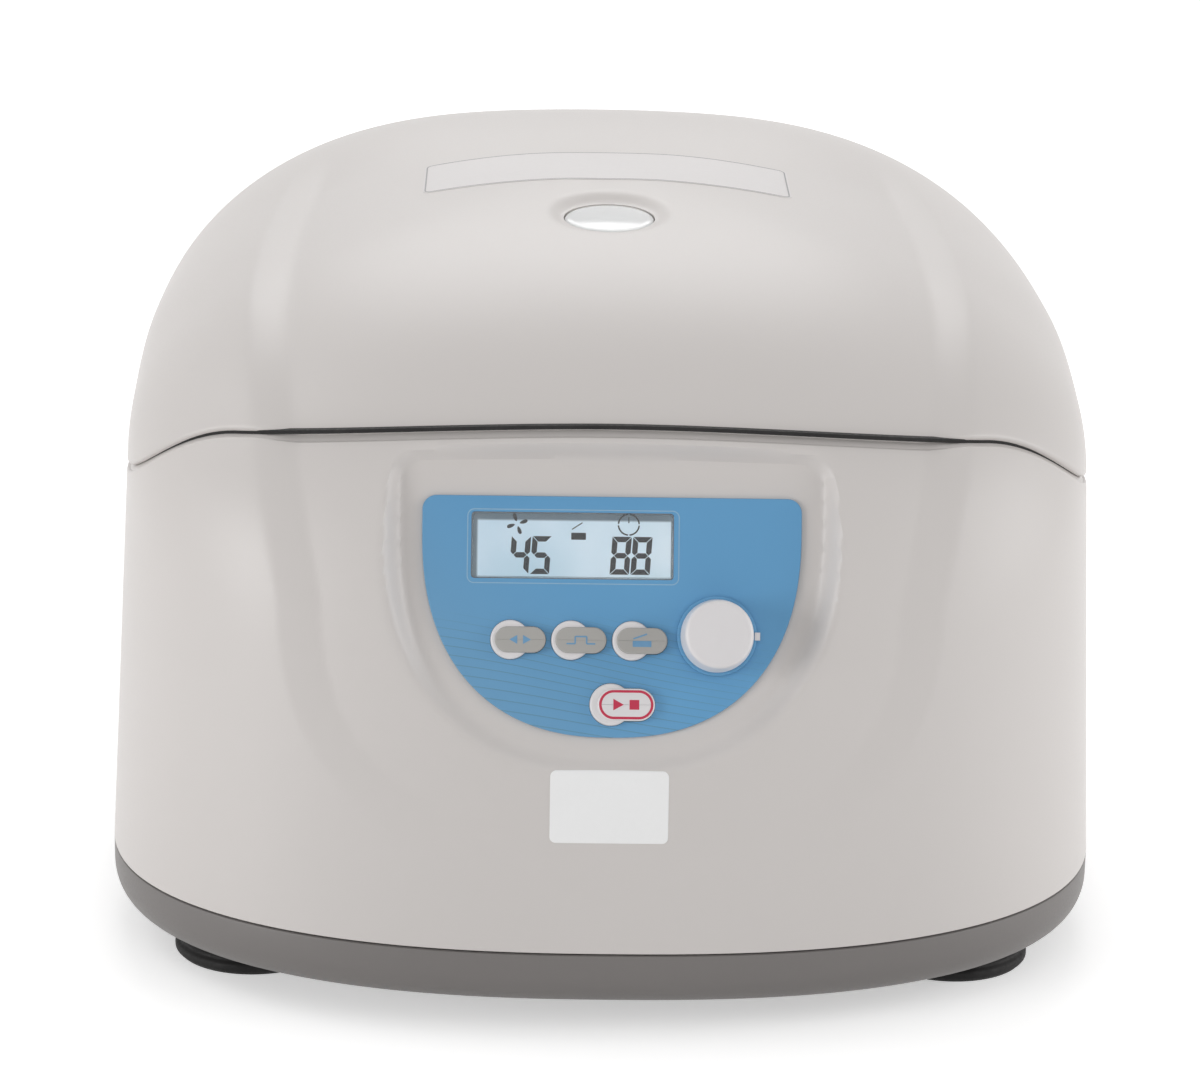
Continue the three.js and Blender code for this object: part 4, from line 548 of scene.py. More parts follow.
def body_skin():
    end = crossing(0)[:, None]
    away, pull = edge_rows(BODY_EDGE_ROUND)
    wall = np.linspace(0, 1, BODY_ROWS, endpoint=False) * (end - BODY_EDGE_ROUND)
    pulls = np.append(np.zeros(BODY_ROWS), pull[::-1])
    levels = skin_levels(np.hstack([wall, end - away[::-1]]), pulls, sunk_field)
    cap, middle = parting_cap(levels[-1], 0)
    return rings("housing_body", levels + cap, (0, 0, SEAM_Z), middle)


def lid_skin():
    start = crossing(PARTING_GAP)[:, None]
    away, pull = edge_rows(LID_EDGE_ROUND)
    wall = lerp(start + LID_EDGE_ROUND, LENGTHS[:, -1:], np.linspace(0, 1, LID_ROWS, endpoint=False)[1:])
    pulls = np.append(pull, np.zeros(LID_ROWS - 1))
    levels = skin_levels(np.hstack([start + away, wall]), pulls, sunk_port)
    cap, middle = parting_cap(levels[0], PARTING_GAP)
    top = ROOF_Z - ROOF_FALL * (ROOF_LEVEL_SHARE / (1 + ROOF_LEVEL_SHARE)) ** 2 - BAND_DEPTH
    return rings("housing_lid", cap[::-1] + levels, middle, (0, 0, top))


def plain_skin(inset, columns=220, rows=90):
    """A closed plain housing pulled in by an inset, reaching below the seam."""
    step = OUTLINE_LENGTH / columns
    paths = column_paths(outline_angles(step, step, SKIN_BEND))
    lengths = lengths_along(paths)
    wanted = np.linspace(0, 1, rows, endpoint=False) * lengths[:, -1:]
    grid = resampled(paths, lengths, wanted)
    grid = grid - normals_of(grid) * inset
    grid[:, 0, 2] = SEAM_Z - OVERRUN
    levels = [grid[:, row] for row in range(rows)]
    return rings("lining", levels, (0, 0, SEAM_Z - OVERRUN), (0, 0, float(roof_at(0.0, 0.0)) - inset))


def above_parting(lift, steps=56):
    """All that lies over the parting surface and a lift."""
    x = (HALF_WIDTH + OVERRUN) * np.sin(np.linspace(-pi / 2, pi / 2, steps + 1))
    y = np.concatenate([[-FRONT_REACH - OVERRUN], np.linspace(*PARTING_SETTLE_Y, 25), [REAR_REACH + OVERRUN]])
    xs, ys = np.meshgrid(x, y)
    places = [np.stack([xs, ys, z], 2) for z in (parting_at(xs, ys) + lift, np.full_like(xs, ROOF_Z + OVERRUN))]
    low, top = np.arange(2 * xs.size).reshape(2, *xs.shape)
    faces = []

    def sheet(a, b, c, d):
        faces.extend(zip(a.flat, b.flat, c.flat, d.flat))

    sheet(low[:-1, :-1], low[1:, :-1], low[1:, 1:], low[:-1, 1:])
    sheet(top[:-1, :-1], top[:-1, 1:], top[1:, 1:], top[1:, :-1])
    sheet(low[:-1, 0], top[:-1, 0], top[1:, 0], low[1:, 0])
    sheet(low[:-1, -1], low[1:, -1], top[1:, -1], top[:-1, -1])
    sheet(low[0, :-1], low[0, 1:], top[0, 1:], top[0, :-1])
    sheet(low[-1, :-1], top[-1, :-1], top[-1, 1:], low[-1, 1:])
    return solid("above", np.reshape(places, (-1, 3)), faces)


def parting_gap_shade():
    """A black strip that follows the edge of the body on the parting surface: painted shade inside the gap
    between lid and body.
    """
    ring = resampled(PATHS, LENGTHS, crossing(0)[:, None])[:, 0, :2]
    (near, far), (low, high) = GAP_SHADE_INSETS, GAP_SHADE_LIFTS
    inward, levels = inward_of(ring), []
    for inset, lift in ((near, low), (near, high), (far, high), (far, low)):
        x, y = (ring + inward * inset).T
        levels.append(np.column_stack([x, y, parting_at(x, y) + lift]))
    return ring_solid("parting_gap_shade", levels)


def hinge_seats(grow=0):
    half, (z0, z1) = HINGE_SEAT_HALF + grow, HINGE_SEAT_Z
    y0, y1 = HINGE_SEAT_Y - grow, HINGE_Y + OVERRUN
    return [block(x - half, x + half, y0, y1, z0 - grow, z1 + grow) for x in HINGE_XS]


def rear_block(x, z, width, height, y0, margin=0.0):
    """A block from y0 out through the rear wall."""
    half, tall = width / 2 + margin, height / 2 + margin
    return block(x - half, x + half, y0, REAR_REACH + OVERRUN, z - tall, z + tall)


def rear_holes():
    middle, count, pitch, width, height = SLOTS
    places = [INLET, SWITCH] + [(middle + (i - (count - 1) / 2) * pitch, width, height) for i in range(count)]
    y0 = SERVICE_FLOOR_Y - 4 * HOUSING_WALL
    return [rear_block(x, SERVICE[1], wide, tall, y0, FIT_GAP) for x, wide, tall in places]


def panel_holes():
    z0, z1 = -FIELD_DEPTH - HOUSING_WALL - OVERRUN, 0.0
    u, v, width, height = DISPLAY
    inner = capsule(width - 2 * DISPLAY_LEDGE, height - 2 * DISPLAY_LEDGE, DISPLAY_CORNER, u, v, 4)
    made = [prism(inner, z0, z1, PANEL), rod(ENCODER_HOLE, z0, z1, *KNOB_AT, 48, PANEL)]
    for key_u, key_v, radius, length, _, offset in KEYS.values():
        left, right = key_u - radius, key_u + offset + length / 2
        wide, tall = right - left + 2 * RUN_GAP, 2 * (radius + RUN_GAP)
        made.append(prism(capsule(wide, tall, radius, (left + right) / 2, key_v, 8), z0, z1, PANEL))
    return made


def field_backing(spare=0.0):
    """The housing's wall behind the sunk field, which its border leads out through the skin."""
    floor, edge = (grown(shield(*shape), HOUSING_WALL + spare) for shape in (FLOOR_SHAPE, FIELD_SHAPE))
    low = -FIELD_DEPTH - HOUSING_WALL - spare
    high = low + 3 * (FIELD_RISE + FIELD_DEPTH)
    levels = [raised(floor, low), raised(lerp(floor, edge, 3), high)]
    return rings("backing", levels, (0, 0, low), (0, 0, high), PANEL)


def body_shell():
    walls = [field_backing(), rear_block(*SERVICE, SERVICE_FLOOR_Y - HOUSING_WALL, HOUSING_WALL)]
    hollow = cut(plain_skin(LINING_INSET), *walls, *hinge_seats(HINGE_SEAT_WALL))
    holes = [rear_block(*SERVICE, SERVICE_FLOOR_Y), *rear_holes(), *panel_holes()]
    return cut(body_skin(), hollow, *hinge_seats(), *holes)


def inner_deck():
    wide = partial(rod, x=0.0, y=CHAMBER_Y, sides=192)
    inset = plain_skin(LINING_INSET + FIT_GAP)
    slab = common(linked("housing_deck", inset.data.copy()), above_parting(-DECK_DROP - DECK_WALL))
    deck = join(slab, common(wide(WELL_RADIUS + DECK_WALL, WELL_FLOOR_Z - DECK_WALL, ROOF_Z), inset))
    well = [wide(WELL_RADIUS, WELL_FLOOR_Z, ROOF_Z), wide(BOWL_HOLE, 0, ROOF_Z)]
    half, y, reach, z0, z1 = LOCK_SLOT
    lock = block(-half, half, y - reach, y + reach, z0, z1)
    seats = hinge_seats(HINGE_SEAT_WALL + FIT_GAP)
    return cut(deck, above_parting(-DECK_DROP), *well, field_backing(FIT_GAP), *seats, lock)


def lid_shell():
    boss = rod(PORT_DISH + HOUSING_WALL, -HOUSING_WALL, PORT_DISH, matrix=PORT)
    hollow = cut(plain_skin(LINING_INSET), boss, *hinge_seats(HINGE_SEAT_WALL))
    hole = rod(PORT_RADIUS, -PORT_DISH, PORT_DISH, matrix=PORT)
    return cut(lid_skin(), hollow, hole, *hinge_seats())


def base_tray():
    outline = np.stack(outline_at(outline_angles(3.4, 3.4, 30.0)), 1)

    def pan(inset, top, steps):
        lip = [(inset, 0)] if inset else TRAY_LIP
        levels = [raised(grown(outline, -pull), top - fall) for pull, fall in lip]
        for away, rise in zip(*edge_rows(TRAY_ROUND, steps)):
            levels.append(raised(grown(outline, -away - inset), TRAY_FLOOR_Z + max(rise, inset)))
        return rings("tray_pan", levels[::-1], (0, 0, TRAY_FLOOR_Z + inset), (0, 0, top))

    top = SEAM_Z - TRAY_GAP
    inside = common(merged("inside", [nodes["base_tray"].data], weld=1e-6), pan(TRAY_WALL / 2, top - 0.5, 2))
    tray = join(cut(pan(0, top, 12), pan(TRAY_WALL, top + OVERRUN, 2)), inside)
    places = [(x, y) for x in (-FOOT_X, FOOT_X) for y in (-FOOT_Y, FOOT_Y)]
    return cut(tray, *(rod(FOOT_SPIGOT + FIT_GAP, 0, TRAY_FLOOR_Z + TRAY_WALL, *place, 32) for place in places))


# Node materials
def linear(rgb, factor=1.0):
    """A colour of 0 to 255 as scene values, scaled by a factor."""
    shares = [c / 255 for c in rgb]
    values = [c / 12.92 if c <= 0.04045 else ((c + 0.055) / 1.055) ** 2.4 for c in shares]
    return tuple(min(c * factor, 1) for c in values)


class Shader:
    """Builds a node material around one Principled shader, with object coordinates to hand."""

    def __init__(self, name, **sockets):
        self.material = bpy.data.materials.new(name)
        self.material.use_nodes = True
        self.tree = self.material.node_tree
        self.shader = self.tree.nodes["Principled BSDF"]
        self.place = self.node("ShaderNodeTexCoord", out="Object")
        self.set(**sockets)

    def feed(self, value, socket):
        if isinstance(value, bpy.types.NodeSocket):
            self.tree.links.new(value, socket)
        elif socket.type == "RGBA":
            socket.default_value = (*value[:3], 1)
        else:
            socket.default_value = value

    def set(self, **sockets):
        """Feeds the shader's sockets, named with underscores, and gives back the material."""
        for name, value in sockets.items():
            self.feed(value, self.shader.inputs[name.replace("_", " ")])
        return self.material

    def node(self, kind, inputs=(), out=0, **settings):
        """Adds a node with its settings, feeds its inputs and gives back one output."""
        made = self.tree.nodes.new(kind)
        for key, value in settings.items():
            setattr(made, key, value)
        for key, value in dict(inputs).items():
            self.feed(value, made.inputs[key])
        return made.outputs[out]

    def math(self, operation, *values, clamp=False):
        return self.node("ShaderNodeMath", enumerate(values), operation=operation, use_clamp=clamp)

    def times(self, first, *others):
        for other in others:
            first = self.math("MULTIPLY", first, other)
        return first

    def ramp(self, value, zero, slope):
        """Climbs by a slope from nought at a value of zero, and stays between nought and one."""
        return self.math("MULTIPLY_ADD", value, slope, -zero * slope, clamp=True)

    def mix(self, share, a, b):
        return self.node("ShaderNodeMix", {"Factor": share, 6: a, 7: b}, 2, data_type="RGBA")

    def noise(self, scale, detail=2.0, stretch=None):
        place = self.place
        if stretch:
            place = self.node("ShaderNodeMapping", {"Vector": place, "Scale": stretch})
        return self.node("ShaderNodeTexNoise", {"Vector": place, "Scale": scale, "Detail": detail})

    def spread(self, value, low, high):
        """Maps a value's middle range from 0.3 to 0.7 onto low to high."""
        inputs = {"Value": value, "From Min": 0.3, "From Max": 0.7, "To Min": low, "To Max": high}
        return self.node("ShaderNodeMapRange", inputs)

    def drift(self, value, a, b):
        """A colour that wanders between two."""
        return self.mix(self.spread(value, 0, 1), a, b)

    def bump(self, height, strength, distance):
        inputs = {"Strength": strength, "Distance": distance, "Height": height}
        self.set(Normal=self.node("ShaderNodeBump", inputs))

    def panel_place(self):
        """Panel coordinates u and v in millimetres: dot products with the object coordinates."""
        made = []
        for axis in PANEL_AXES.T[:2]:
            inputs = {0: self.place, 1: tuple(float(c) / MM for c in axis)}
            raw = self.node("ShaderNodeVectorMath", inputs, "Value", operation="DOT_PRODUCT")
            made.append(self.math("SUBTRACT", raw, float(np.dot(axis, PANEL_ORIGIN))))
        return made


def moulded(name, rgb, roughness=0.4, patch=0.015):
    """Moulded plastic: a tone that drifts a little, a fine eroded grain and a gloss that varies with it."""
    made = Shader(name)
    tone = made.drift(made.noise(9.0, 3.0), linear(rgb, 1 - patch), linear(rgb, 1 + patch / 2))
    fine = made.noise(1600.0, 4.0)
    made.bump(fine, 0.08, 0.00008)
    return made.set(Base_Color=tone, Roughness=made.spread(fine, roughness - 0.05, roughness + 0.06))


def metal(name, rgb, roughness, stretch, metallic=1.0):
    """Metal with drawn or turned marks: a noise stretched along the brushing."""
    made = Shader(name, Metallic=metallic)
    marks = made.noise(700.0, 5.0, stretch)
    made.bump(marks, 0.2, 0.00006)
    gloss = made.spread(made.noise(60.0, 3.0), roughness - 0.06, roughness + 0.08)
    return made.set(Base_Color=made.drift(marks, linear(rgb, 0.88), linear(rgb)), Roughness=gloss)


def printed_film():
    """Blue film on the control panel with thin level lines that wander across its lower part."""
    made = Shader("panel_film", Specular_IOR_Level=0.45, Coat_Weight=0.15, Coat_Roughness=0.3)
    u, v = made.panel_place()
    swell = made.math("SINE", made.math("MULTIPLY_ADD", u, 0.045, 0.6))
    ripple = made.math("SINE", made.math("MULTIPLY_ADD", u, 0.021, made.times(v, 0.05)))
    wander = made.math("MULTIPLY_ADD", swell, 1.6, made.times(ripple, 5.5))
    level = made.math("ADD", v, made.math("MULTIPLY_ADD", u, 0.12, wander))
    phase = made.math("FRACT", made.times(level, 0.42))
    line = made.math("LESS_THAN", made.math("ABSOLUTE", made.math("SUBTRACT", phase, 0.5)), 0.055)
    fade_right = made.ramp(made.math("MULTIPLY_ADD", v, 0.7, u), 40.0, -0.02)
    share = made.times(line, made.ramp(v, -5.0, -0.12), fade_right, 0.55)
    low_left = made.ramp(made.math("ADD", u, v), -10.0, -0.012)
    tone = made.drift(made.noise(14.0, 2.0), linear((95, 157, 202)), linear((100, 163, 208)))
    tone = made.mix(low_left, tone, linear((110, 160, 196)))
    fine = made.noise(1800.0, 3.0)
    made.bump(fine, 0.06, 0.00008)
    tone = made.mix(share, tone, linear((92, 134, 152)))
    return made.set(Base_Color=tone, Roughness=made.spread(fine, 0.38, 0.48))


def lit_screen():
    """The display's glass: glowing, a little paler towards the right, with a painted shadow of its frame as a
    dim border on two sides, mostly the left and top.
    """
    made = Shader("lit_screen", Specular_IOR_Level=0.4)
    u, v = made.panel_place()
    (left, right), (low, top) = UNSHADED_U, UNSHADED_V
    edges = ((u, left, 1.6), (v, top, -1.6), (v, low, 4.0), (u, right, -4.0))
    inside = made.times(*(made.ramp(*edge) for edge in edges))
    rightward = made.math("MULTIPLY_ADD", u, 0.012, 0.5, clamp=True)
    lit = made.mix(rightward, linear((190, 208, 222)), linear((212, 224, 232)))
    # Painted shadow of the frame: a darker tone, which does not glow, on the border outside the edges
    frame_shadow = made.drift(made.noise(30.0), linear((104, 120, 134)), linear((120, 136, 148)))
    colour = made.mix(inside, frame_shadow, lit)
    made.set(Emission_Color=colour, Emission_Strength=made.times(inside, 0.34))
    return made.set(Base_Color=colour, Roughness=made.spread(made.noise(900.0), 0.3, 0.36))


def clear(name, rgb, roughness=0.03, passing=1.0):
    """Clear plastic or glass with a faint unevenness."""
    made = Shader(name, Transmission_Weight=passing, IOR=1.49)
    tone = made.drift(made.noise(25.0), linear(rgb), (1.0, 1.0, 1.0))
    return made.set(Base_Color=tone, Roughness=made.spread(made.noise(400.0), roughness, roughness + 0.02))


def rubber(name, rgb):
    """Rubber with a little dust on it."""
    made = Shader(name, Specular_IOR_Level=0.3)
    base = linear(rgb)
    tone = made.drift(made.noise(70.0, 6.0), base, tuple(c * 1.8 + 0.004 for c in base))
    made.bump(made.noise(2400.0, 4.0), 0.25, 0.0001)
    return made.set(Base_Color=tone, Roughness=made.spread(made.noise(900.0), 0.55, 0.72))


def ink(name, rgb, roughness=0.45, mottle=0.06):
    """Print: nearly even, with the slight mottling of screen ink."""
    made = Shader(name)
    tone = made.drift(made.noise(700.0), linear(rgb, 1 - mottle), linear(rgb))
    gloss = made.spread(made.noise(1500.0), roughness - 0.04, roughness + 0.04)
    return made.set(Base_Color=tone, Roughness=gloss)


def windings():
    made = Shader("copper_winding", Metallic=0.85)
    turns = made.node("ShaderNodeTexWave", {"Vector": made.place, "Scale": 300.0, "Distortion": 0.6})
    made.bump(turns, 0.5, 0.0003)
    tone = made.mix(turns, linear((120, 62, 30)), linear((196, 124, 74)))
    return made.set(Base_Color=tone, Roughness=made.spread(made.noise(200.0), 0.3, 0.42))


def circuit_board():
    made = Shader("solder_mask")
    form = {"distance": "MANHATTAN", "feature": "DISTANCE_TO_EDGE"}
    cells = made.node("ShaderNodeTexVoronoi", {"Vector": made.place, "Scale": 260.0}, **form)
    track = made.math("LESS_THAN", cells, 0.07)
    made.bump(track, 0.3, 0.00005)
    tone = made.mix(track, linear((24, 84, 56)), linear((46, 118, 80)))
    return made.set(Base_Color=tone, Roughness=made.spread(made.noise(300.0), 0.25, 0.35))


LOOKS = {
    "shell_white": moulded("shell_plastic", (216, 211, 208), 0.4),
    "tray_grey": moulded("tray_plastic", (121, 117, 115), 0.46, patch=0.03),
    "panel_blue": printed_film(),
    "button_grey": moulded("key_grey_plastic", (176, 174, 170), 0.45, patch=0.01),
    "knob_white": moulded("knob_plastic", (232, 229, 230), 0.38, patch=0.01),
    "rubber_black": rubber("black_rubber", (27, 26, 26)),
    "steel": metal("brushed_steel", (190, 192, 196), 0.3, (1, 1, 14)),
    "zinc": metal("zinc_plate", (172, 175, 180), 0.38, (1, 9, 1)),
    "rotor_grey": metal("anodised_aluminium", (92, 95, 102), 0.36, (1, 1, 10), metallic=0.9),
    "sleeve_white": moulded("sleeve_plastic", (222, 224, 226), 0.36, patch=0.01),
    "clear_window": clear("clear_acrylic", (214, 232, 236)),
    # The view port's clear dome gets a near-white colour and lets little light through: a painted reflection of
    # the studio light on it
    "port_glass": clear("port_acrylic_painted_reflection", (248, 249, 249), 0.08, passing=0.2),
    "display_glass": lit_screen(),
    "board_green": circuit_board(),
    "copper": windings(),
    "plastic_black": moulded("black_plastic", (34, 34, 36), 0.5, patch=0.05),
}
INKS = {
    "segment": ink("segment_ink", (16, 15, 26), 0.6),
    "pale_blue": ink("pale_blue_ink", (150, 188, 214)),
    "key_blue": ink("key_blue_ink", (112, 160, 198)),
    "red": ink("red_ink", (200, 50, 80)),
    "rule_grey": ink("rule_grey_ink", (158, 154, 156)),
    "label_white": ink("label_paper", (222, 218, 217), 0.4, 0.015),
    "sticker_white": ink("sticker_paper", (252, 252, 252), 0.42, 0.01),
}
SLOT_OF = {part["node"]: part["material_slot"] for part in frame["record"]["subparts"]}


def dress(piece, slot, body, *replaced, look=None, angle=32.0):
    """Shades a piece, gives it the material of its slot, attaches it to its body and hides the solids that it
    stands for.
    """
    if angle:
        piece.data.shade_smooth()
        piece.data.set_sharp_from_angle(angle=radians(angle))
    piece.data.materials.clear()
    piece.data.materials.append(look or LOOKS[slot])
    if replaced:
        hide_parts(*replaced)
    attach(piece, body)
    return piece


# Shells, tray and feet
body = dress(body_shell(), "shell_white", "base", "body_shell")
dress(inner_deck(), "shell_white", "base", "inner_deck")
lid = dress(lid_shell(), "shell_white", "lid", "lid_shell")
dress(base_tray(), "tray_grey", "base", "base_tray")
# A black strip in the parting gap stands for the shade inside it
dress(parting_gap_shade(), "rubber_black", "base", angle=0)

foot_points = [(0, 0, 0), *((FOOT_RADIUS + out, z, corner) for out, z, corner in FOOT_RIM)]
foot_points += [(FOOT_SPIGOT, TRAY_FLOOR_Z - FIT_GAP, 0)]
foot_points += [(radius, TRAY_FLOOR_Z + TRAY_WALL - FIT_GAP, 0) for radius in (FOOT_SPIGOT, 0)]
for side_y, end in ((-FOOT_Y, "front"), (FOOT_Y, "rear")):
    for side_x, side in ((-FOOT_X, "left"), (FOOT_X, "right")):
        corner = end + "_" + side
        foot = turned("rubber_foot_" + corner, foot_points, 4, 72, Matrix.Translation((side_x, side_y, 0)))
        dress(foot, "rubber_black", "base", "foot_" + corner)


# Control panel and display
def soft_plate(name, outline, z0, z1, edge, steps=3):
    """A plate on the panel whose upper edge is rounded over; the outline is pulled in along its own normals."""
    outline = np.asarray(outline, float)
    inward = inward_of(outline)
    levels = [raised(outline, z0)]
    levels += [raised(outline + inward * away, z1 - fall) for away, fall in zip(*edge_rows(edge, steps))]
    levels.append(raised(outline + inward * (edge + 0.05), z1))
    return rings(name, levels, matrix=PANEL)


def flat_print(name, outlines, z0, z1):
    pieces = [prism(outline, z0, z1, PANEL) for outline in outlines]
    made = merged(name, [piece.data for piece in pieces])
    for piece in pieces:
        drop(piece)
    return made


def frame_print(name, outer, inner, z0, z1):
    return ring_solid(name, [raised(outer, z0), raised(outer, z1), raised(inner, z1), raised(inner, z0)], PANEL)


def key_outlines(key, grow=0.0):
    u, v, radius, length, height, offset = KEYS[key]
    pad = capsule(length + 2 * grow, height + 2 * grow, height / 2 + grow, u + offset, v)
    return circle(radius + grow, 64, u, v), pad


def display_outline(gap=0.0):
    u, v, width, height = DISPLAY
    return capsule(width - 2 * gap, height - 2 * gap, DISPLAY_CORNER, u, v, 6)


def control_panel():
    plate = soft_plate("panel_plate", shield(*PANEL_SHAPE), -PANEL_THICKNESS, 0, 0.25)
    shapes = [shape for key in KEYS for shape in key_outlines(key, FILM_GAP)]
    shapes += [display_outline(), circle(ENCODER_HOLE, 48, *KNOB_AT)]
    return cut(plate, *(prism(shape, -OVERRUN, OVERRUN, PANEL) for shape in shapes))


dress(control_panel(), "panel_blue", "base", "control_panel")
window = soft_plate("display_window", display_outline(FIT_GAP), -PANEL_THICKNESS, 0.2, 0.2)
dress(window, "clear_window", "base", "display_lens")
dress(prism(display_outline(FIT_GAP), *SCREEN_Z, PANEL, "display_screen"), "display_glass", "base")
width, height, corner, *middle = DISPLAY_RULE
line_in = capsule(width - 0.6, height - 0.6, corner - 0.3, *middle, 8)
rule = frame_print("display_rule", capsule(*DISPLAY_RULE, 8), line_in, 0.005, 0.03)
dress(rule, "panel_blue", "base", look=INKS["pale_blue"], angle=0)

# Lit bars of the digits, and the ends of each bar as columns and rows of a digit's six corners
SEGMENTS = {4: "bcfg", 5: "acdfg", 8: "abcdefg"}
BARS = {"a": (0, 2, 1, 2), "b": (1, 1, 1, 2), "c": (1, 0, 1, 1), "d": (0, 0, 1, 0)}
BARS |= {"e": (0, 0, 0, 1), "f": (0, 1, 0, 2), "g": (0, 1, 1, 1)}


def digit(number, u, v, width=5.4, height=10.6, thick=1.5, gap=0.12, lean=0.07):
    """Outlines of the lit bars of one seven-bar digit, with its lower left corner at u, v."""
    half = thick / 2
    columns, rows = (half, width - half), (half, height / 2, height - half)
    made = []
    for x0, y0, x1, y1 in (BARS[name] for name in SEGMENTS[number]):
        start, end = np.array([columns[x0], rows[y0]]), np.array([columns[x1], rows[y1]])
        mitres = [half if row == 1 else -half for row in (y0, y1)]
        along = (end - start) / np.linalg.norm(end - start)
        side = np.array([-along[1], along[0]]) * half
        if np.dot(side, start + end - np.array([width, height])) < 0:
            start, end, along, mitres = end, start, -along, mitres[::-1]
            side = -side
        start, end = start + along * gap, end - along * gap
        shape = [start, start + along * half - side, end - along * half - side, end]
        shape += [end - along * mitres[1] + side, start + along * mitres[0] + side]
        made.append([(u + p[0] + lean * p[1], v + p[1]) for p in shape])
    return made


def bar(start, end, thick=SIGN_THICK):
    start, end = np.array(start, float), np.array(end, float)
    along = (end - start) / np.linalg.norm(end - start)
    side = np.array([-along[1], along[0]]) * thick / 2
    return [start - side, end - side, end + side, start + side]


def arc_band(u, v, radius, thick, start, end, steps=10):
    turns = np.radians(np.linspace(start, end, steps + 1))
    sides = ((radius + thick / 2, turns), (radius - thick / 2, turns[::-1]))
    return [(u + reach * cos(t), v + reach * sin(t)) for reach, order in sides for t in order]


def blade(u, v, turn, reach=3.0, start=0.7, wide=0.62):
    """A drop-shaped blade of the fan sign, turned about u, v."""
    along, side = np.array([[cos(turn), sin(turn)], [-sin(turn), cos(turn)]])
    made = []
    for t in np.linspace(0, 2 * pi, 13)[:-1]:
        far = start + (reach - start) * (1 - cos(t)) / 2
        off = wide * sin(t) * (0.4 + far / reach * 0.7) + 0.14 * far
        made.append(np.array([u, v]) + along * far + side * off)
    return made


figures = digit(4, -28.7, 5.4) + digit(5, -22.9, 5.4) + digit(8, -0.6, 5.5) + digit(8, 5.2, 5.5)
figures += [blade(-26.5, 19.4, radians(10 + 90 * i)) for i in range(4)]
figures += [capsule(4.1, 1.95, 0.1, -9.35, 16.1, 2), bar((-11.2, 18.0), (-8.3, 19.9), 0.3)]
figures += [arc_band(4.65, 19.5, 2.9, 0.42, 94 + 90 * i, 176 + 90 * i) for i in range(4)]
figures += [bar((4.65, 19.9), (4.65, 21.6), 0.3)]
figures = flat_print("display_figures", figures, *PRINT_Z)
dress(figures, "display_glass", "base", look=INKS["segment"], angle=0)


# Keys: a white round cap and a grey pad that lies across it, with a printed sign
def key_signs(key):
    """Outlines about the middle of a pad: two arrows, a pulse, an open lid, or start and stop."""
    if key == "button_select":
        return [[(s * 0.8, -1.25), (s * 3.0, 0), (s * 0.8, 1.25)][::s] for s in (-1, 1)]
    if key == "button_pulse":
        steps = [(-4, -1), (-1.6, -1), (-1.6, 1), (1.6, 1), (1.6, -1), (4, -1)]
        return [bar(*ends) for ends in zip(steps, steps[1:])]
    if key == "button_door":
        return [capsule(5.2, 1.7, 0.15, 0, -0.85, 2), bar((-2.4, 0.55), (1.4, 1.9))]
    return [[(-3.6, -1.6), (-0.7, 0), (-3.6, 1.6)], [(0.9, -1.35), (3.6, -1.35), (3.6, 1.35), (0.9, 1.35)]]


for key, (key_u, key_v, _, length, height, offset) in KEYS.items():
    starts = key == "button_start_stop"
    disc, pad = key_outlines(key)
    seat = -FIELD_DEPTH - HOUSING_WALL
    stem = rod(STEM_RADIUS, STEM_LOW_Z, seat + 0.5, key_u, key_v, 24, PANEL)
    cap = join(soft_plate(key + "_cap", disc, seat, CAP_RISE, CAP_ROUND, steps=5), stem)
    dress(cap, "knob_white", key, key)
    pad = soft_plate(key + "_pad", pad, PAD_RISE - PAD_DEPTH, PAD_RISE, PAD_ROUND, steps=4)
    dress(pad, "button_grey", key, look=LOOKS["knob_white"] if starts else None)
    middle = np.array([key_u + offset, key_v])
    signs = [np.array(shape) + middle for shape in key_signs(key)]
    sign = flat_print(key + "_sign", signs, PAD_RISE - 0.01, PAD_RISE + 0.03)
    dress(sign, "button_grey", key, look=INKS["red" if starts else "key_blue"], angle=0)
    if starts:
        line = [capsule(length - e, height - e, (height - e) / 2, *middle) for e in (0.9, 2.3)]
        rule = frame_print(key + "_rule", *line, PAD_RISE - 0.02, PAD_RISE + 0.035)
        dress(rule, "button_grey", key, look=INKS["red"], angle=0)


# Knob and its collar
KNOB = PANEL @ Matrix.Translation((*KNOB_AT, 0))
bore = rod(KNOB_BORE, *KNOB_BORE_Z, sides=48, matrix=KNOB)
knob = cut(turned("control_knob", KNOB_POINTS, 8, 128, KNOB), bore)
dress(knob, "knob_white", "control_knob", "knob", angle=40)
dress(turned("knob_collar_ring", COLLAR_POINTS, 4, 96, KNOB), "panel_blue", "base", "knob_collar")
dress(block(*KNOB_MARK, KNOB, "knob_mark"), "knob_white", "base")


# Chamber: bowl, grommet and gasket
def chamber_bowl():
    outer, low, rim = BOWL_RADIUS + BOWL_WALL, BOWL_FLOOR_Z, WELL_FLOOR_Z
    inner_low, inner_rim = low + BOWL_WALL, rim + BOWL_WALL
    points = [(BOWL_BORE, inner_low, 0), (BOWL_RADIUS, inner_low, BOWL_CORNER), (BOWL_RADIUS, inner_rim, 1.0)]
    points += [(BOWL_FLANGE, inner_rim, 0.4), (BOWL_FLANGE, rim, 0.3), (outer, rim, 0)]
    points += [(outer, low, BOWL_CORNER + BOWL_WALL), (BOWL_BORE, low, 0)]
    return turned("chamber_pan", points, 10, 192)


def grommet():
    (inner, neck, lip), (low, high, rise) = GROMMET, GROMMET_Z
    points = [(inner, low - rise, 0), (lip, low - rise, 0.8), (lip, low, 0.4), (neck, low, 0), (neck, high, 0)]
    points += [(lip, high, 1.2), (neck, high + rise, 0.8), (inner, high + rise, 0)]
    return turned("bowl_grommet_ring", points, 5, 96)


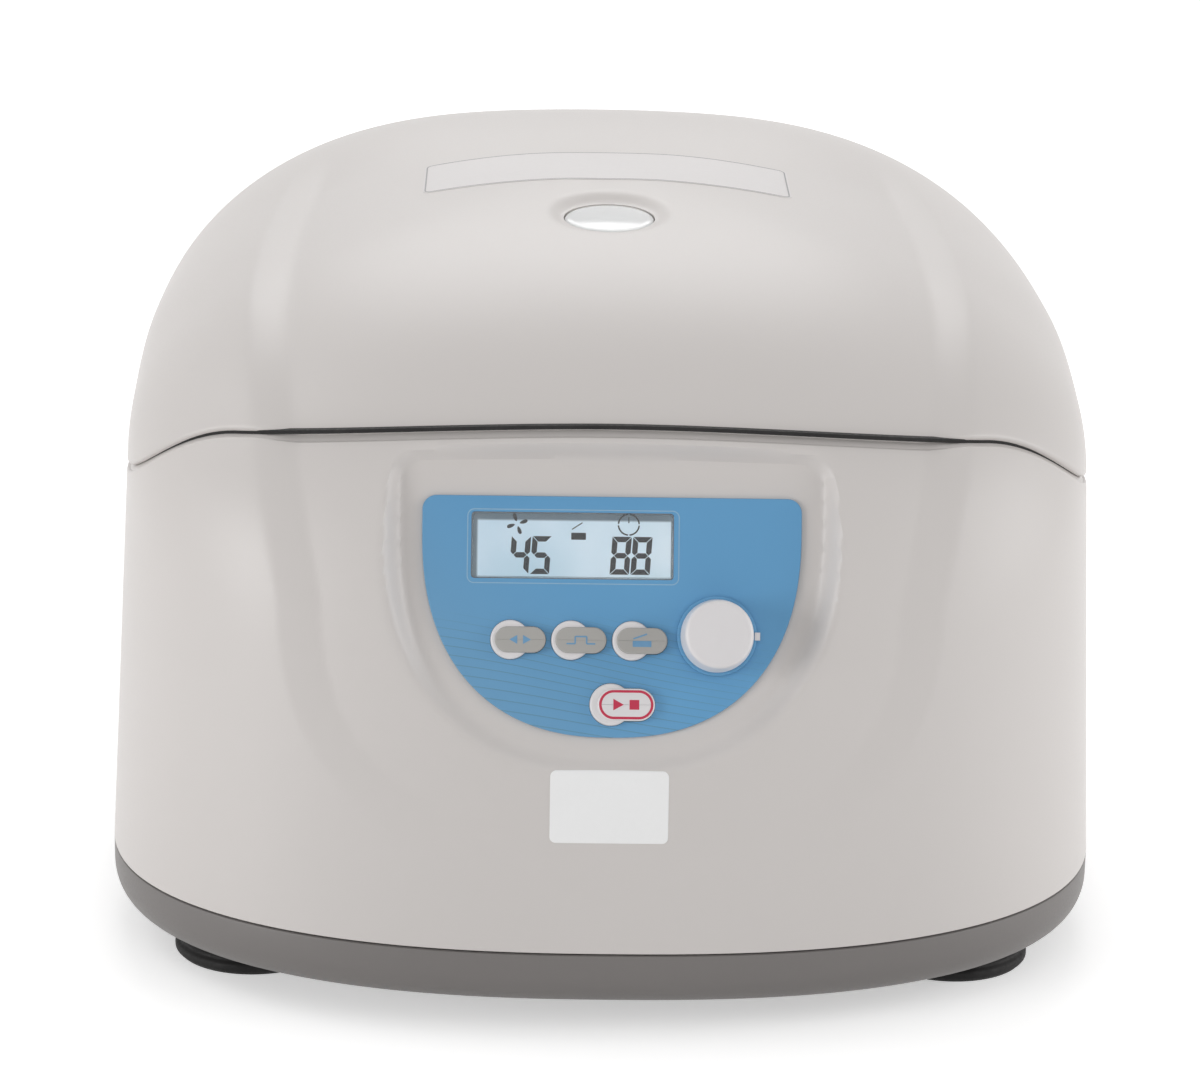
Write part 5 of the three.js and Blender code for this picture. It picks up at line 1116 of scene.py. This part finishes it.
def gasket():
    inner, outer, low, high = GASKET
    points = [(inner, low, 0), (outer, low, 0.5), (outer, high, 0.6)]
    ribs = enumerate(np.linspace(outer - 1, inner + 1, 11))
    points += [(radius, high - (0 if at % 2 else 0.7), 0.2) for at, radius in ribs]
    points += [(inner, high, 0.6), (inner, low + 0.2, 0)]
    return turned("lid_gasket_ring", points, 3, 192)


dress(chamber_bowl(), "steel", "base", "chamber_bowl")
dress(grommet(), "rubber_black", "base", "bowl_grommet")
dress(gasket(), "rubber_black", "lid", "lid_gasket", angle=24)


# Rotor: a turned dish with a tilted seat for each sleeve, its nut and shaft
def seat_along(along, outward=0.0):
    """Radius and height of a point on a sleeve's axis, or beside it."""
    across, up = sin(SEAT_TILT), cos(SEAT_TILT)
    return SEAT_RADIUS - along * across + outward * up, SEAT_Z + along * up + outward * across


def sleeve_places():
    made = []
    seat = Matrix.Translation((SEAT_RADIUS, 0, SEAT_Z)) @ Matrix.Rotation(-SEAT_TILT, 4, "Y")
    for i in range(SLEEVE_COUNT):
        made.append(CHAMBER @ Matrix.Rotation(2 * pi * (i + 0.5) / SLEEVE_COUNT, 4, "Z") @ seat)
    return made


def rotor_dish():
    inside = SLEEVE_OUTER + 2 * RUN_GAP
    outside = inside + ROTOR_WALL
    foot = SLEEVE_OUTER - SLEEVE_LENGTH - ROTOR_FOOT
    skirt_in, skirt_out = seat_along(foot, inside), seat_along(foot, outside)
    low = skirt_in[1] - ROTOR_SKIRT
    start = HUB_TOP_Z - DISH_WALL - (DISH_START - HUB_RADIUS)
    points = [(SHAFT_HOLE, HUB_LOW_Z, 0), (HUB_RADIUS, HUB_LOW_Z, 0.8), (HUB_RADIUS, start, 2)]
    points += [(*seat_along(-DISH_WALL, inside), 2.0), (*skirt_in, 2.0)]
    points += [(side[0], low, 0.6) for side in (skirt_in, skirt_out)]
    points += [(*skirt_out, 3.0), (*seat_along(0, outside), 1.2), (*seat_along(0, inside), 0.6)]
    points += [(DISH_START, HUB_TOP_Z, 2.0), (SHAFT_HOLE, HUB_TOP_Z, 0)]
    holes = []
    for place in sleeve_places():
        for radius, low_z in ((SLEEVE_OUTER, -SLEEVE_LENGTH / 4), (SLEEVE_RIM, 0)):
            holes.append(rod(radius + FIT_GAP, low_z, SLEEVE_LENGTH / 2, sides=64, matrix=place))
    return cut(turned("rotor_dish", points, 6, 192), *holes)


def tube_sleeve(name, place):
    deep, top = SLEEVE_OUTER - SLEEVE_LENGTH, FIT_GAP + SLEEVE_RISE
    radii = (SLEEVE_OUTER, SLEEVE_BORE)
    low, high = ([(r * sin(t), deep - r * cos(t), 0) for t in quarter(8)] for r in radii)
    rim = [(SLEEVE_OUTER, FIT_GAP, 0), (SLEEVE_RIM, FIT_GAP, 0.3)]
    rim += [(SLEEVE_RIM, top, 0.8), (SLEEVE_BORE, top, 0.7)]
    return turned(name, low + rim + high[::-1], 4, 64, place)


def rotor_nut():
    low = HUB_TOP_Z + FIT_GAP
    top, bore_top = low + NUT_HEIGHT, low + NUT_HEIGHT - NUT_COVER
    points = [(0, low, 0), (NUT_RADIUS, low, 0.6), (NUT_RADIUS, top, 2.2), (0, top, 0)]
    holes = [rod(NUT_FLUTE, low - OVERRUN, bore_top, *at, 32, CHAMBER) for at in circle(NUT_RADIUS, NUT_FLUTES)]
    holes.append(rod(SHAFT_HOLE, low - OVERRUN, bore_top, matrix=CHAMBER))
    return cut(turned("rotor_nut_knob", points, 8, 96), *holes)


dress(rotor_dish(), "rotor_grey", "rotor", "rotor_body")
dress(rotor_nut(), "steel", "rotor", "rotor_nut")
for number, place in enumerate(sleeve_places(), 1):
    dress(tube_sleeve(f"sleeve_{number}", place), "sleeve_white", "rotor", f"tube_sleeve_{number}", angle=50)


# Lid liner with its plug and dome, and the window of the view port
def dome_bend(spare):
    half, high = DOME_RADIUS / 2, DOME_TOP_Z - DOME_SHOULDER_Z
    return [(half + cos(t) * (half - spare), DOME_SHOULDER_Z + sin(t) * (high - spare), 0) for t in quarter(20)]


def lid_liner():
    wall, low, lift = PLUG_RADIUS - LINER_WALL, PLUG_LOW_Z, PARTING_GAP + LINER_DROP
    points = [(0, DOME_TOP_Z - LINER_WALL, 0), *dome_bend(LINER_WALL)[::-1], (DOME_FOOT - LINER_WALL, low, 1.0)]
    points += [(PLUG_RADIUS, low, 1.6), (PLUG_RADIUS, ROOF_Z, 0), (wall, ROOF_Z, 0)]
    points += [(radius, low + LINER_WALL, 0) for radius in (wall, DOME_FOOT)]
    points += [*dome_bend(0), (0, DOME_TOP_Z, 0)]
    core = partial(rod, z0=0, z1=ROOF_Z, y=CHAMBER_Y, sides=160)
    over = partial(above_parting, lift + LINER_WALL)
    dome = cut(turned("liner_dome", points, 5, 160), cut(over(), core(wall - LINER_WALL)))
    plate = common(plain_skin(LINING_INSET + RUN_GAP, 160, 70), above_parting(lift))
    plate = cut(plate, over(), core(wall + LINER_WALL / 2))
    rear = HINGE_SEAT_Y - HINGE_SEAT_WALL - FIT_GAP
    sight = rod(PORT_RADIUS - PORT_LEDGE, -ROOF_Z / 4, PORT_DISH, sides=64, matrix=PORT)
    return cut(join(plate, dome), sight, block(-HALF_WIDTH, HALF_WIDTH, rear, REAR_REACH, SEAM_Z, ROOF_Z))


def port_window():
    reach = PORT_RADIUS - FIT_GAP
    points = [(0, -PORT_GLASS, 0), (reach, -PORT_GLASS, 0.3), (reach, -0.4, 0.4)]
    points += [(reach * share, PORT_CROWN * (1 - share**2), 0) for share in np.linspace(0.92, 0, 12)]
    return turned("port_lens", points, 4, 96, PORT)


dress(lid_liner(), "shell_white", "lid", "lid_liner")
# The port's window wears the near-white look that paints the studio light's reflection on it
dress(port_window(), "clear_window", "lid", "port_window", look=LOOKS["port_glass"])


# Bare plates on the lid and the front
def lid_and_front():
    """How a point of a plate is laid on the lid from above, and on the body from the front."""
    depsgraph = bpy.context.evaluated_depsgraph_get()
    lid_tree, body_tree = (BVHTree.FromObject(piece, depsgraph) for piece in (lid, body))

    def on_lid(a, b, lift):
        hit = lid_tree.ray_cast(Vector((a, b, 300)) * MM, Vector((0, 0, -1)))[0]
        return (a, b, hit.z / MM + lift)

    def on_front(a, b, lift):
        hit = body_tree.ray_cast(Vector((a, -300, b)) * MM, Vector((0, 1, 0)))[0]
        return (a, hit.y / MM - lift, b)

    return on_lid, on_front


def draped(name, outline, lay, low, high, shares=(1, 0.96, 0.85, 0.7, 0.5, 0.3, 0.12)):
    """A thin plate that follows a surface: rings of an outline laid on it by a function of a, b and a lift."""
    outline = np.asarray(outline, float)
    middle = outline.mean(0)

    def level(share, lift):
        return np.array([lay(*(middle + (point - middle) * share), lift) for point in outline])

    levels = [level(share, low) for share in shares[::-1]] + [level(1, high - 0.04)]
    levels += [level(share, high) for share in (0.997, *shares[1:])]
    return rings(name, levels, lay(*middle, low), lay(*middle, high))


def label_line(shrink=0.0):
    width, height, corner, a, b = LABEL
    return dense(capsule(width - shrink, height - shrink, corner - shrink / 2, a, b, 6))


on_lid, on_front = lid_and_front()
plate = draped("lid_plate", label_line(), on_lid, *PLATE_LIFTS)
dress(plate, "shell_white", "lid", look=INKS["label_white"])
outer, inner = (label_line(shrink) for shrink in LABEL_RULE)
corners = zip((outer, outer, inner, inner), (*RULE_LIFTS, *RULE_LIFTS[::-1]))
rule = ring_solid("lid_plate_rule", [[on_lid(*point, lift) for point in line] for line, lift in corners])
dress(rule, "shell_white", "lid", look=INKS["rule_grey"], angle=0)
sticker = draped("front_plate", dense(capsule(*STICKER, steps=6))[::-1], on_front, *PLATE_LIFTS)
dress(sticker, "shell_white", "base", look=INKS["sticker_white"])

# Solids that show as they are, with their materials
for name, node in nodes.items():
    if not node.hide_render:
        node.data.materials.clear()
        node.data.materials.append(LOOKS[SLOT_OF[name]])
        node.data.shade_smooth()

# Camera at the photograph's place
pitch, yaw, roll = (radians(turn) for turn in CAMERA_TURNS)
forward = Vector((sin(yaw) * cos(pitch), cos(yaw) * cos(pitch), -sin(pitch)))
right = Vector((cos(yaw), -sin(yaw), 0))
up = right.cross(forward)
right, up = right * cos(roll) + up * sin(roll), up * cos(roll) - right * sin(roll)
camera = linked("camera", bpy.data.cameras.new("camera"))
camera.matrix_world = Matrix.Translation(CAMERA_AT) @ Matrix((right, up, -forward)).transposed().to_4x4()
camera.data.lens = FOCAL_PIXELS / PHOTO_WIDTH * SENSOR_WIDTH
camera.data.shift_x = SHIFT_PIXELS / PHOTO_WIDTH
scene.camera = camera


# Pale floor, even studio light
def seen_share(tree):
    """One for rays from the camera and those that gloss and glass send on, else zero."""
    path = tree.nodes.new("ShaderNodeLightPath")
    seen = path.outputs["Is Camera Ray"]
    for kind in ("Is Glossy Ray", "Is Transmission Ray"):
        most = tree.nodes.new("ShaderNodeMath")
        most.operation = "MAXIMUM"
        tree.links.new(seen, most.inputs[0])
        tree.links.new(path.outputs[kind], most.inputs[1])
        seen = most.outputs[0]
    return seen


floor_look = Shader("pale_floor", Roughness=0.9, Specular_IOR_Level=0.1, Emission_Color=(1.0, 1.0, 1.0))
glow = floor_look.times(seen_share(floor_look.tree), FLOOR_GLOW)
pale = floor_look.drift(floor_look.noise(3.0), (0.93, 0.93, 0.93), (0.95, 0.95, 0.95))
floor = solid("floor", [(-6000, -6000, 0), (6000, -6000, 0), (6000, 6000, 0), (-6000, 6000, 0)], [(0, 1, 2, 3)])
floor.data.materials.append(floor_look.set(Base_Color=pale, Emission_Strength=glow))

world = bpy.data.worlds.new("studio")
world.use_nodes = True
scene.world = world
tree = world.node_tree
background = tree.nodes["Background"]
background.inputs["Color"].default_value = (1, 1, 1, 1)
strength = tree.nodes.new("ShaderNodeMapRange")
strength.inputs["To Min"].default_value = WORLD_FILL
strength.inputs["To Max"].default_value = WORLD_SEEN
tree.links.new(seen_share(tree), strength.inputs["Value"])
tree.links.new(strength.outputs[0], background.inputs["Strength"])

for name, (place, size, power) in LAMPS.items():
    light = bpy.data.lights.new(name, "AREA")
    light.size, light.energy = size, power
    lamp = linked(name, light)
    lamp.location = place
    lamp.rotation_euler = (Vector(LAMP_AIM) - Vector(place)).to_track_quat("-Z", "Y").to_euler()

scene.view_settings.view_transform = "Standard"
